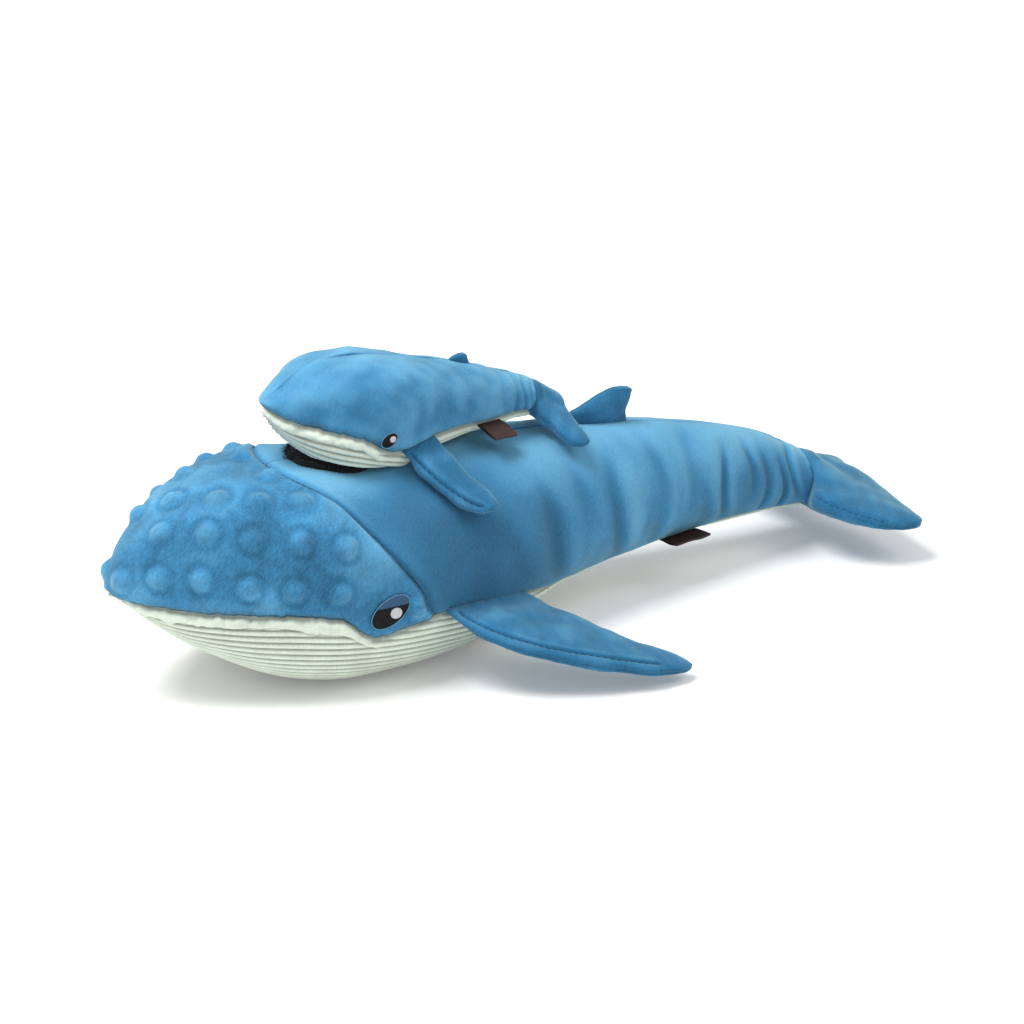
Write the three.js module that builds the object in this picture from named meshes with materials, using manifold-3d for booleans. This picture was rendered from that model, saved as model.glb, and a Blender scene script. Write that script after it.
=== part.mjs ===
// Plush whale that carries its calf. The calf holds on by a round hook-and-loop patch and pulls off.
// Both are sewn from cloth panels round a filling: a dotted head panel on the mother, two panels for the back
// and flanks, a ribbed throat and belly panel, and padded fins and flukes sewn into the seams.
// Millimetres, +Z up. The nose points along -X, the whale's left flank faces -Y, and the origin is the
// middle of the flat that the belly rests on.
import * as THREE from "three";
import Module from "manifold-3d";
import { mergeVertices } from "three/addons/utils/BufferGeometryUtils.js";

const wasm = await Module();
wasm.setup();

// Clearances.
const seamGap = 0.3; // between two pieces that are sewn together or lie on each other
const fillingGap = 2.4; // between a filling and the cloth round it, slack for its facets
const limbFillingGap = 1.8; // the same in the fins and flukes
const cutOverrun = 6; // how far a cutting solid runs past what it cuts

// The mother's body.
const motherLength = 380; // nose to tail seam
const motherWidth = 116;
const motherHeight = 100;
const motherCloth = 2.4; // pile and backing of one layer
const restFlatDepth = 0.5; // how far the plush is pressed flat where it lies on the ground

// The mother's fins and flukes.
const motherFinSpan = 76; // from the hinge out to the tip
const motherFinRoot = 50; // along the body
const motherFinThickness = 10;
const motherFinNeck = 5.4; // thickness where the seam pinches the root
const motherDorsalSpan = 15;
const motherDorsalRoot = 42;
const motherDorsalThickness = 8;
const motherDorsalNeck = 4.8;
const motherFlukeSpan = 62; // from the middle to one tip
const motherFlukeChord = 40;
const motherFlukeThickness = 22; // in the middle, where the lobes meet
const motherLimbCloth = 1.4;

// The mother's embroidered eyes and her label.
const motherEyeLength = 20.5;
const motherEyeHeight = 12.8;
const motherGlintLength = 5.6;
const motherGlintHeight = 6.2;
const threadHeight = 0.8; // how far embroidery stands on the cloth
const motherLabelWidth = 21;
const motherLabelReach = 12;
const labelCloth = 0.5;
const labelFold = 0.7; // inner width of the fold
const motherLabelLift = 3; // from the seam to the label's cut ends

// The hook-and-loop patch.
const patchDiameter = 50;
const hookDiameter = 44;
const patchThickness = 1.6; // of each half
const patchLift = 0.9; // between the mother's back and the patch, for the back's facets
const patchGap = 0.45; // between the two halves

// The calf's body.
const calfLength = 141;
const calfWidth = 60;
const calfHeight = 48.5;
const calfCloth = 1.9;
const calfPress = 4.1; // how far the belly is pressed in where it lies on the patch
const pressSlack = 0.8; // between the pressed belly and the patch, for the belly's facets

// The calf's fins and flukes.
const calfFinSpan = 44;
const calfFinRoot = 20;
const calfFinThickness = 7;
const calfFinNeck = 4;
const calfDorsalSpan = 4.4;
const calfDorsalRoot = 12;
const calfDorsalThickness = 4.2;
const calfDorsalNeck = 3.2;
const calfFlukeSpan = 33;
const calfFlukeChord = 22;
const calfFlukeThickness = 7.5;
const calfLimbCloth = 1.1;

// The calf's eyes and label.
const calfEyeLength = 8.6;
const calfEyeHeight = 6.4;
const calfGlintLength = 3.2;
const calfGlintHeight = 3.4;
const calfLabelWidth = 14;
const calfLabelReach = 13;
const calfLabelLift = 0.4;

// Colours.
const velourBlue = 0x3f8dbf;
const finBlue = 0x2f78b0;
const mint = 0xd5e6d9;
const fillingWhite = 0xf2f1ec;
const threadBlack = 0x1a1a1a;
const lidNavy = 0x3c4e66;
const glintWhite = 0xd9d9de;
const labelBrown = 0x4a2e22;

const radians = Math.PI / 180;
const bent = (value, power) => Math.sign(value) * Math.abs(value) ** power;

// A smooth curve through knots of [place, value] that never overshoots them.
function smooth(knots) {
  const rate = (i) => (knots[i + 1][1] - knots[i][1]) / (knots[i + 1][0] - knots[i][0]);
  const slope = (i) => {
    if (i === 0) return rate(0);
    if (i === knots.length - 1) return rate(i - 1);
    const before = rate(i - 1);
    const after = rate(i);
    return before * after <= 0 ? 0 : (2 * before * after) / (before + after);
  };
  return (place) => {
    let i = 0;
    while (i < knots.length - 2 && place > knots[i + 1][0]) i += 1;
    const [x0, y0] = knots[i];
    const [x1, y1] = knots[i + 1];
    const step = x1 - x0;
    const t = (place - x0) / step;
    const start = (1 + 2 * t) * (1 - t) ** 2 * y0 + t * (1 - t) ** 2 * step * slope(i);
    const end = t ** 2 * (3 - 2 * t) * y1 + t ** 2 * (t - 1) * step * slope(i + 1);
    return start + end;
  };
}

// Stations run from 0 at the nose to 1 at the tail seam. They crowd at the nose, where a station grows with
// the root of the distance, so that the nose closes round.
const noseBlend = 0.25;
const stationAt = (share) => (share + Math.sqrt(share ** 2 + 4 * (1 + noseBlend) * noseBlend * share))
  / (2 * (1 + noseBlend));
const shareAt = (station) => ((1 + noseBlend) * station ** 2) / (station + noseBlend);
const profile = (shares) => smooth(shares.map(([share, value]) => [stationAt(share), value]));

// A body's lines are given over shares of its length: the half width as a share of half the width, and the
// back, the widest point, the belly and the side seam as shares of the height. Fullness is the power of a
// section's rounding, 2 for an ellipse, over and under the widest point.
const restShare = 0.35; // where the belly touches the ground
const motherShape = {
  length: motherLength,
  width: motherWidth,
  height: motherHeight,
  cloth: motherCloth,
  widthShares: [
    [0, 0], [0.02, 0.21], [0.08, 0.52], [0.16, 0.8], [0.25, 0.98], [0.32, 1],
    [0.43, 0.92], [0.6, 0.65], [0.75, 0.48], [0.9, 0.34], [1, 0.25],
  ],
  backShares: [
    [0, 0.54], [0.03, 0.765], [0.1, 0.93], [0.15, 0.99], [0.2, 1], [0.24, 0.996], [0.3, 0.972], [0.42, 0.96],
    [0.65, 0.87], [0.8, 0.776], [0.92, 0.637], [1, 0.475],
  ],
  middleShares: [[0, 0.54], [0.08, 0.52], [0.2, 0.48], [0.45, 0.46], [0.65, 0.475], [0.85, 0.45], [1, 0.33]],
  bellyShares: [
    [0, 0.54], [0.03, 0.428], [0.1, 0.222], [0.2, 0.04], [0.27, 0.003], [restShare, 0], [0.43, 0.008],
    [0.52, 0.105], [0.6, 0.155], [0.7, 0.187], [0.8, 0.213], [0.92, 0.211], [1, 0.19],
  ],
  seamShares: [
    [0, 0.54], [0.02, 0.513], [0.07, 0.487], [0.18, 0.455], [0.234, 0.415], [0.26, 0.33], [0.28, 0.295],
    [0.323, 0.32], [0.366, 0.34], [0.43, 0.32], [0.49, 0.285], [0.56, 0.235], [0.62, 0.218], [0.7, 0.224],
    [0.85, 0.242], [1, 0.22],
  ],
  fullness: [[0, 2.1], [0.06, 2.7], [0.15, 3.1], [0.22, 3.1], [0.3, 2.5], [0.45, 2.4], [0.65, 2.2], [1, 2.3]],
  underFullness: [[0, 2.1], [0.06, 2.5], [0.15, 3], [0.3, 3.4], [0.45, 3.1], [0.65, 2.2], [1, 2.3]],
  headShare: 0.192, // where the head panel ends on the midline
  headSweepShare: 0.164, // how much further back it ends at the side seams
  headBend: 1.15,
  rows: 12,
  columns: 16,
};

const calfShape = {
  length: calfLength,
  width: calfWidth,
  height: calfHeight,
  cloth: calfCloth,
  widthShares: [
    [0, 0], [0.02, 0.22], [0.08, 0.52], [0.16, 0.8], [0.25, 0.97], [0.34, 1],
    [0.45, 0.93], [0.6, 0.75], [0.75, 0.56], [0.9, 0.38], [1, 0.28],
  ],
  backShares: [
    [0, 0.541], [0.03, 0.635], [0.1, 0.795], [0.2, 0.912], [0.33, 0.965], [0.5, 0.94], [0.7, 0.872],
    [0.85, 0.8], [1, 0.69],
  ],
  middleShares: [[0, 0.541], [0.2, 0.523], [0.6, 0.516], [1, 0.523]],
  bellyShares: [
    [0, 0.541], [0.03, 0.402], [0.1, 0.225], [0.2, 0.012], [0.3, 0], [0.43, 0], [0.5, 0.05], [0.6, 0.12],
    [0.7, 0.18], [0.85, 0.262], [1, 0.349],
  ],
  seamShares: [
    [0, 0.541], [0.03, 0.478], [0.17, 0.394], [0.25, 0.347], [0.3, 0.275], [0.34, 0.216], [0.39, 0.172],
    [0.44, 0.178], [0.5, 0.232], [0.56, 0.288], [0.63, 0.31], [0.78, 0.347], [1, 0.413],
  ],
  fullness: [[0, 2.1], [0.2, 2.5], [0.5, 2.4], [1, 2.1]],
  underFullness: [[0, 2.1], [0.12, 2.9], [0.25, 3.6], [0.42, 3.4], [0.6, 2.6], [1, 2.1]],
  rows: 14,
  columns: 12,
};

// The outer surface of a body in its own frame: x back from the nose, z up from the ground. Angle 0 is the
// right side at its widest, a quarter turn the back and minus a quarter turn the belly. A press may move a
// point that would lie in what carries the body.
function bodySurface(shape, press = (point) => point) {
  const half = profile(shape.widthShares);
  const back = profile(shape.backShares);
  const middle = profile(shape.middleShares);
  const belly = profile(shape.bellyShares);
  const seam = profile(shape.seamShares);
  const fullness = profile(shape.fullness);
  const underFullness = profile(shape.underFullness);
  const section = (station, up) => ({
    halfWidth: (shape.width / 2) * half(station),
    centre: shape.height * middle(station),
    reach: shape.height * (up ? back(station) - middle(station) : middle(station) - belly(station)),
    power: up ? fullness(station) : underFullness(station),
  });
  const point = (station, angle) => {
    const { halfWidth, centre, reach, power } = section(station, Math.sin(angle) > 0);
    return press(new THREE.Vector3(
      shape.length * shareAt(station),
      halfWidth * bent(Math.cos(angle), 2 / power),
      centre + reach * bent(Math.sin(angle), 2 / power),
    ));
  };
  const step = 0.002;
  const normal = (station, angle) => {
    if (station === 0) return new THREE.Vector3(-1, 0, 0);
    const along = point(Math.min(station + step, 1), angle).sub(point(station - step, angle));
    const round = point(station, angle + step).sub(point(station, angle - step));
    return round.cross(along).normalize();
  };
  const inset = (station, angle, depth) => point(station, angle).addScaledVector(normal(station, angle), -depth);
  // The angle on the right flank at a height z.
  const angleBeside = (station, z) => {
    const up = z > shape.height * middle(station);
    const { centre, reach, power } = section(station, up);
    const share = reach > 0 ? Math.min(Math.abs(z - centre) / reach, 1) : 0;
    return (up ? 1 : -1) * Math.asin(share ** (power / 2));
  };
  const seamAngle = (station) => angleBeside(station, shape.height * seam(station));
  // The angle on the back or the belly at a distance y from the midplane.
  const angleOver = (station, y, up) => {
    const { halfWidth, power } = section(station, up);
    const angle = Math.acos(Math.min(Math.abs(y) / halfWidth, 1) ** (power / 2));
    return (up ? 1 : -1) * (y >= 0 ? angle : Math.PI - angle);
  };
  const spot = (x, angleAt) => {
    const station = stationAt(x / shape.length);
    const angle = angleAt(station);
    return { point: point(station, angle), normal: normal(station, angle) };
  };
  const above = (x, y) => spot(x, (station) => angleOver(station, y, true));
  const below = (x, y) => spot(x, (station) => angleOver(station, y, false));
  const beside = (x, z, side) => spot(x, (station) => {
    const angle = angleBeside(station, z);
    return side > 0 ? angle : Math.PI - angle;
  });
  return { shape, point, inset, seamAngle, above, below, beside };
}

function geometryOf(points, index) {
  const geometry = new THREE.BufferGeometry();
  geometry.setAttribute("position", new THREE.Float32BufferAttribute(points.flatMap((p) => p.toArray()), 3));
  geometry.setIndex(index);
  return geometry;
}

// A closed sheet between an outer and an inner grid of points. A round sheet's last column is its first again.
function sheetGeometry(outer, inner, round = false) {
  const rows = outer.length;
  const cols = outer[0].length;
  const at = (layer, i, j) => layer * rows * cols + i * cols + (round && j === cols - 1 ? 0 : j);
  const index = [];
  const quad = (a, b, c, d) => index.push(a, b, c, a, c, d);
  for (let i = 0; i < rows - 1; i += 1) {
    for (let j = 0; j < cols - 1; j += 1) {
      quad(at(0, i, j), at(0, i + 1, j), at(0, i + 1, j + 1), at(0, i, j + 1));
      quad(at(1, i, j), at(1, i, j + 1), at(1, i + 1, j + 1), at(1, i + 1, j));
    }
  }
  for (let i = 0; i < rows - 1 && !round; i += 1) {
    quad(at(0, i, 0), at(1, i, 0), at(1, i + 1, 0), at(0, i + 1, 0));
    quad(at(0, i, cols - 1), at(0, i + 1, cols - 1), at(1, i + 1, cols - 1), at(1, i, cols - 1));
  }
  for (let j = 0; j < cols - 1; j += 1) {
    quad(at(0, 0, j), at(0, 0, j + 1), at(1, 0, j + 1), at(1, 0, j));
    quad(at(0, rows - 1, j), at(1, rows - 1, j), at(1, rows - 1, j + 1), at(0, rows - 1, j + 1));
  }
  return geometryOf([...outer.flat(), ...inner.flat()], index);
}

// A closed solid through rings of points, with a flat fan over the first and the last ring.
function loftGeometry(rings) {
  const count = rings[0].length;
  const points = rings.flat();
  const index = [];
  for (let i = 0; i < rings.length - 1; i += 1) {
    for (let j = 0; j < count; j += 1) {
      const a = i * count + j;
      const b = i * count + ((j + 1) % count);
      index.push(a, b, b + count, a, b + count, a + count);
    }
  }
  const centre = (ring) => ring.reduce((sum, p) => sum.add(p), new THREE.Vector3()).divideScalar(count);
  const first = points.push(centre(rings[0])) - 1;
  const last = points.push(centre(rings.at(-1))) - 1;
  const end = (rings.length - 1) * count;
  for (let j = 0; j < count; j += 1) {
    const k = (j + 1) % count;
    index.push(first, k, j, last, end + j, end + k);
  }
  return geometryOf(points, index);
}

// A geometry as a solid that can be joined and cut, with its faces pointing out.
function solidOf(geometry) {
  const plain = geometry.clone();
  plain.deleteAttribute("normal");
  plain.deleteAttribute("uv");
  const merged = mergeVertices(plain);
  const points = merged.attributes.position;
  const corner = (i) => new THREE.Vector3().fromBufferAttribute(points, i);
  const faces = [];
  let volume = 0;
  for (let i = 0; i < merged.index.count; i += 3) {
    const [a, b, c] = [0, 1, 2].map((k) => merged.index.getX(i + k));
    if (a === b || b === c || c === a) continue;
    faces.push([a, b, c]);
    volume += corner(a).dot(corner(b).cross(corner(c)));
  }
  const triVerts = Uint32Array.from(faces.flatMap(([a, b, c]) => (volume < 0 ? [a, c, b] : [a, b, c])));
  const vertProperties = Float32Array.from(points.array);
  return new wasm.Manifold(new wasm.Mesh({ numProp: 3, vertProperties, triVerts }));
}

function geometryFrom(solid) {
  const { vertProperties, triVerts } = solid.getMesh();
  const geometry = new THREE.BufferGeometry();
  geometry.setAttribute("position", new THREE.Float32BufferAttribute(vertProperties, 3));
  geometry.setIndex(Array.from(triVerts));
  return geometry;
}

const without = (solid, cutters) => cutters.reduce((rest, cutter) => rest.subtract(cutter), solid);
const placedSolid = (geometry, matrix) => solidOf(geometry.clone().applyMatrix4(matrix));

// A box between two corners.
function boxGeometry(low, high) {
  const size = high.clone().sub(low);
  const middle = low.clone().add(high).divideScalar(2);
  return new THREE.BoxGeometry(size.x, size.y, size.z).translate(middle.x, middle.y, middle.z);
}

// A point moved towards another by a distance.
function pulled(point, towards, distance) {
  const way = towards.clone().sub(point);
  return way.length() > distance ? point.clone().addScaledVector(way.normalize(), distance) : point.clone();
}

// Draws the edges of a panel's grid back from its seams.
const edgeShare = 0.7; // share of the seam gap that each edge draws back, for seams that run aslant
function drawnBack(grid, front) {
  const distance = seamGap * edgeShare;
  const rows = grid.map((row) => row.map((p) => p.clone()));
  if (front) rows[0] = grid[0].map((p, j) => pulled(p, grid[1][j], distance));
  return rows.map((row) => {
    const end = row.length - 1;
    return row.map((p, j) => {
      if (j === 0) return pulled(p, row[1], distance);
      return j === end ? pulled(p, row[end - 1], distance) : p;
    });
  });
}

// A cloth panel over a stretch of the body. At gives the station and the angle at shares of its two ways.
function panelSolid(surface, rows, cols, at, { front = false, rear = false }) {
  const grid = (depth) => {
    const points = Array.from({ length: rows + 1 }, (_, i) => (
      Array.from({ length: cols + 1 }, (__, j) => surface.inset(...at(i / rows, j / cols), depth))));
    const drawn = drawnBack(points, front);
    return rear ? drawnBack(drawn.reverse(), true).reverse() : drawn;
  };
  return solidOf(sheetGeometry(grid(0), grid(surface.shape.cloth)));
}

// The panels and the filling of a body, cut by the seats of what is sewn to it and by the ground.
function bodyPieces(surface, cutters) {
  const { shape } = surface;
  const { rows, columns } = shape;
  const upper = (station, t) => {
    const seam = surface.seamAngle(station);
    return [station, Math.PI - seam - t * (Math.PI - 2 * seam)];
  };
  const hasHead = Boolean(shape.headShare);
  const noseHole = 0.02; // station at which two panels that meet at the nose begin
  const headEnd = (t) => (hasHead
    ? stationAt(shape.headShare + shape.headSweepShare * Math.abs(2 * t - 1) ** shape.headBend) : noseHole);
  const pieces = {};
  if (hasHead) {
    pieces.head_panel = panelSolid(surface, rows, columns, (i, j) => upper(headEnd(j) * i, j), { rear: true });
  }
  for (const [name, from] of [["back_left", 0], ["back_right", 1 / 2]]) {
    const at = (i, j) => {
      const t = from + j / 2;
      return upper(headEnd(t) + (1 - headEnd(t)) * i, t);
    };
    pieces[name] = panelSolid(surface, rows, columns / 2, at, { front: hasHead });
  }
  // The belly's rows meet the rows of the panels above it along the seams, and start just under the nose.
  const startShare = 0.3;
  const split = headEnd(0);
  const stations = Array.from({ length: rows + 1 }, (_, i) => split + ((1 - split) * i) / rows);
  if (hasHead) stations.unshift(...Array.from({ length: rows }, (_, i) => (split * i) / rows));
  stations[0] = stations[1] * startShare;
  const under = (i, j) => {
    const station = stations[Math.round(i * (stations.length - 1))];
    const seam = surface.seamAngle(station);
    return [station, seam - j * (Math.PI + 2 * seam)];
  };
  pieces.belly_panel = panelSolid(surface, stations.length - 1, columns / 2, under, {});
  const depth = shape.cloth + fillingGap;
  const firstRing = 0.06;
  const lastRing = 0.98;
  const fillingRows = 18;
  const rings = Array.from({ length: fillingRows + 1 }, (_, i) => {
    const station = firstRing + ((lastRing - firstRing) * i) / fillingRows;
    return Array.from({ length: columns }, (__, j) => surface.inset(station, (j / columns) * 2 * Math.PI, depth));
  });
  pieces.filling = solidOf(loftGeometry(rings));
  for (const name of Object.keys(pieces)) pieces[name] = without(pieces[name], cutters);
  return pieces;
}

const leafPower = 0.8; // makes the section of a padded limb fuller than an ellipse

// One ring of a padded limb at a distance y along its span, round its chord from front to back.
function limbRing(sides, y, level, front, back, halfThickness, inset) {
  const half = (back - front) / 2;
  const halfChord = insetHalf(half, inset);
  return Array.from({ length: sides }, (_, j) => {
    const angle = (j / sides) * 2 * Math.PI;
    return new THREE.Vector3(
      (front + back) / 2 + halfChord * bent(Math.cos(angle), leafPower),
      y,
      level + halfThickness * bent(Math.sin(angle), leafPower),
    );
  });
}
const insetHalf = (half, inset) => half ** 2 / (half + inset);

// The shares of the span at which a limb has its rings. Under the cloth they end short of the tip.
const ringSharesUnder = (limb, inset) => {
  const end = limb.ringShares.at(-1) - (3 * inset) / limb.span;
  return [...limb.ringShares.filter((share) => share < end - inset / limb.span), end];
};

// The pinched root of a leaf is half a round bar: shares of its radius behind the hinge and in thickness.
const neckShares = [[1, 0.12], [0.85, 0.53], [0.5, 0.87], [0, 1]];

// A padded leaf in its own frame: x along its hinge, y out to the tip and z through its thickness.
// Its edges are shares of the root, given over shares of the span.
function leafGeometry(leaf, inset) {
  const leading = smooth(leaf.leadingShares);
  const trailing = smooth(leaf.trailingShares);
  const swell = smooth(leaf.swellShares);
  const taper = smooth(leaf.taperShares);
  const ringAt = (y, share, halfThickness) => limbRing(
    leaf.sides, y, 0, leading(share) * leaf.root, trailing(share) * leaf.root, halfThickness, inset);
  const neck = insetHalf(leaf.neck / 2, inset);
  const rings = neckShares.map(([out, thin]) => ringAt(-neck * out, 0, neck * thin));
  for (const share of ringSharesUnder(leaf, inset)) {
    const thickness = (leaf.neck + (leaf.thickness - leaf.neck) * swell(share)) * taper(share);
    rings.push(ringAt(share * leaf.span, share, insetHalf(thickness / 2, inset)));
  }
  return loftGeometry(rings);
}

// The cut that a leaf's root needs in what it is sewn to.
const seatSides = 16;
function leafSeat(leaf) {
  const radius = (leaf.neck / 2 + seamGap) / Math.cos(Math.PI / seatSides);
  return new THREE.CylinderGeometry(radius, radius, leaf.root + 2 * seamGap, seatSides).rotateZ(Math.PI / 2);
}

// Splits a padded limb into the cloth on its two sides and its filling. Outline gives the limb at a depth
// under its surface, and half gives what lies on one side of its middle, from a distance across it.
function paddedPieces(outline, half, cloth, stuffed) {
  const skin = stuffed ? outline(0).subtract(outline(cloth)) : outline(0);
  const pieces = {
    plus: skin.subtract(half(-1, seamGap / 2)),
    minus: skin.subtract(half(1, seamGap / 2)),
  };
  if (stuffed) pieces.filling = outline(cloth + limbFillingGap);
  return pieces;
}

function leafPieces(leaf, cloth, stuffed) {
  const far = 2 * (leaf.span + leaf.root);
  const half = (side, across) => {
    const low = new THREE.Vector3(-far, -far, side < 0 ? -far : -across);
    const high = new THREE.Vector3(far, far, side < 0 ? across : far);
    return solidOf(boxGeometry(low, high));
  };
  return paddedPieces((inset) => solidOf(leafGeometry(leaf, inset)), half, cloth, stuffed);
}

// The flukes in their own frame: x back from the hinge, y to the right and z up. A ball fills the end of the
// tail and runs back in a wedge, and two lobes sweep out from it and droop towards their tips.
function flukeSolid(fluke, inset) {
  const ball = solidOf(new THREE.SphereGeometry(fluke.radius - inset, fluke.ballSides, fluke.ballSides / 2));
  const wedgeRing = ([share, widthShare, heightShare]) => Array.from({ length: fluke.sides }, (_, j) => {
    const angle = (j / fluke.sides) * 2 * Math.PI;
    return new THREE.Vector3(
      share * (fluke.chord - inset),
      insetHalf(widthShare * fluke.radius, inset) * Math.cos(angle),
      insetHalf(heightShare * fluke.radius, inset) * Math.sin(angle),
    );
  });
  const wedge = solidOf(loftGeometry(fluke.wedgeShares.map(wedgeRing)));
  const leading = smooth(fluke.leadingShares);
  const trailing = smooth(fluke.trailingShares);
  const taper = smooth(fluke.taperShares);
  const lobeRing = (share) => {
    const out = Math.abs(share);
    const y = share * fluke.span;
    const halfThickness = insetHalf((fluke.thickness / 2) * taper(out), inset);
    return limbRing(
      fluke.sides, y, fluke.droop(y), leading(out) * fluke.chord, trailing(out) * fluke.chord, halfThickness, inset);
  };
  const right = ringSharesUnder(fluke, inset);
  const shares = [...right.slice(1).reverse().map((share) => -share), ...right];
  return ball.add(wedge).add(solidOf(loftGeometry(shares.map(lobeRing))));
}

function flukePieces(fluke, cloth) {
  const far = 3 * fluke.span;
  const half = (side, across) => {
    const ring = (y) => {
      const level = fluke.droop(y) - side * across;
      const end = level + side * far;
      return [[-far, level], [far, level], [far, end], [-far, end]].map(([x, z]) => new THREE.Vector3(x, y, z));
    };
    return solidOf(loftGeometry([-far, 0, far].map(ring)));
  };
  return paddedPieces((inset) => flukeSolid(fluke, inset), half, cloth, true);
}

// A round or oval sheet over a surface, between a low and a high distance from it. Place gives the surface's
// point and normal at two offsets.
function discSolid(place, size, tilt, [low, high], rings, sides) {
  const grid = (lift) => Array.from({ length: rings + 1 }, (_, i) => (
    Array.from({ length: sides + 1 }, (__, j) => {
      const angle = (j / sides) * 2 * Math.PI;
      const u = (i / rings) * (size.x / 2) * Math.cos(angle);
      const v = (i / rings) * (size.y / 2) * Math.sin(angle);
      const spot = place(u * Math.cos(tilt) - v * Math.sin(tilt), u * Math.sin(tilt) + v * Math.cos(tilt));
      return spot.point.addScaledVector(spot.normal, lift);
    })));
  return solidOf(sheetGeometry(grid(high), grid(low), true));
}

const eyeSides = 16;
// An embroidered eye on a flank: the pupil, a glint set into it and, on the mother, a half-closed lid whose
// edge is level.
function eyePieces(surface, eye, side) {
  const place = (along, up) => surface.beside(eye.x + along, eye.z + up, side);
  const size = new THREE.Vector2(eye.length, eye.height);
  const disc = discSolid(place, size, eye.tilt, [seamGap, seamGap + threadHeight], 2, eyeSides);
  const depth = 2 * surface.shape.width;
  const glint = (gap) => {
    const bar = new THREE.CylinderGeometry(1, 1, depth, eyeSides / 2);
    bar.scale(eye.glintLength / 2 + gap, 1, eye.glintHeight / 2 + gap);
    bar.translate(eye.glintAlongShare * eye.length, 0, eye.glintUpShare * eye.height);
    return solidOf(bar.rotateY(-eye.tilt).translate(eye.x, 0, eye.z));
  };
  const pieces = { glint: disc.intersect(glint(0)) };
  let pupil = disc.subtract(glint(seamGap));
  if (eye.lidShare) {
    const lid = (gap) => {
      const low = new THREE.Vector3(-eye.length, -depth, eye.lidShare * eye.height - gap);
      const high = new THREE.Vector3(eye.length, depth, eye.length);
      return solidOf(boxGeometry(low, high).translate(eye.x, 0, eye.z));
    };
    pieces.lid = disc.intersect(lid(0)).subtract(glint(seamGap));
    pupil = pupil.subtract(lid(seamGap));
  }
  pieces.pupil = pupil;
  return pieces;
}

// A woven label folded over on itself, in its own frame: x along the seam and y out to the fold.
function labelGeometry(width, reach) {
  const inner = labelFold / 2;
  const outer = inner + labelCloth;
  const bend = reach - outer;
  const outline = new THREE.Shape();
  outline.moveTo(0, -outer);
  outline.lineTo(bend, -outer);
  outline.absarc(bend, 0, outer, -Math.PI / 2, Math.PI / 2, false);
  outline.lineTo(0, outer);
  outline.lineTo(0, inner);
  outline.lineTo(bend, inner);
  outline.absarc(bend, 0, inner, Math.PI / 2, -Math.PI / 2, true);
  outline.lineTo(0, -inner);
  outline.closePath();
  const strip = new THREE.ExtrudeGeometry(outline, { depth: width, bevelEnabled: false, curveSegments: 6 });
  // The outline's x becomes y, its y becomes z, and the extrusion runs along x.
  const turn = new THREE.Matrix4().makeBasis(
    new THREE.Vector3(0, 1, 0),
    new THREE.Vector3(0, 0, 1),
    new THREE.Vector3(1, 0, 0),
  );
  return strip.translate(0, 0, -width / 2).applyMatrix4(turn);
}

const tangentShare = 0.04; // share of the length over which the run of a seam is read
function framedGroup(origin, along, outward) {
  const group = new THREE.Group();
  const out = outward.clone().addScaledVector(along, -outward.dot(along)).normalize();
  group.setRotationFromMatrix(new THREE.Matrix4().makeBasis(along, out, along.clone().cross(out)));
  group.position.copy(origin);
  group.updateMatrix();
  return group;
}

// A group whose x axis runs back along a side seam and whose y axis points out of the body, turned down by
// a droop. Lift moves its origin out of the surface.
function seamGroup(surface, share, side, droop, lift) {
  const at = (s) => {
    const seam = surface.seamAngle(stationAt(s));
    return surface.point(stationAt(s), side > 0 ? seam : Math.PI - seam);
  };
  const along = at(share + tangentShare).sub(at(share - tangentShare)).normalize();
  const outward = new THREE.Vector3(0, side * Math.cos(droop), -Math.sin(droop));
  return framedGroup(at(share).addScaledVector(outward, lift), along, outward);
}

// A group on the midline: x back along it, y out of the back and z to the left.
function backGroup(surface, share) {
  const at = (s) => surface.point(stationAt(s), Math.PI / 2);
  const along = at(share + tangentShare).sub(at(share - tangentShare)).normalize();
  return framedGroup(at(share), along, new THREE.Vector3(0, 0, 1));
}

const endShare = (shares) => shares.at(-1)[1];
const tailRadius = (shape) => (shape.height * (endShare(shape.backShares) - endShare(shape.bellyShares))) / 2;

// A group at the middle of the tail's end, pitched down.
function tailGroup(shape, pitch) {
  const group = new THREE.Group();
  group.position.set(shape.length, 0, shape.height * endShare(shape.bellyShares) + tailRadius(shape));
  group.rotation.y = pitch;
  group.updateMatrix();
  return group;
}

function addMesh(group, name, solid, colour) {
  const material = new THREE.MeshStandardMaterial({ color: colour, roughness: 0.9, metalness: 0 });
  const mesh = new THREE.Mesh(geometryFrom(solid), material);
  mesh.name = name;
  group.add(mesh);
}

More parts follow.
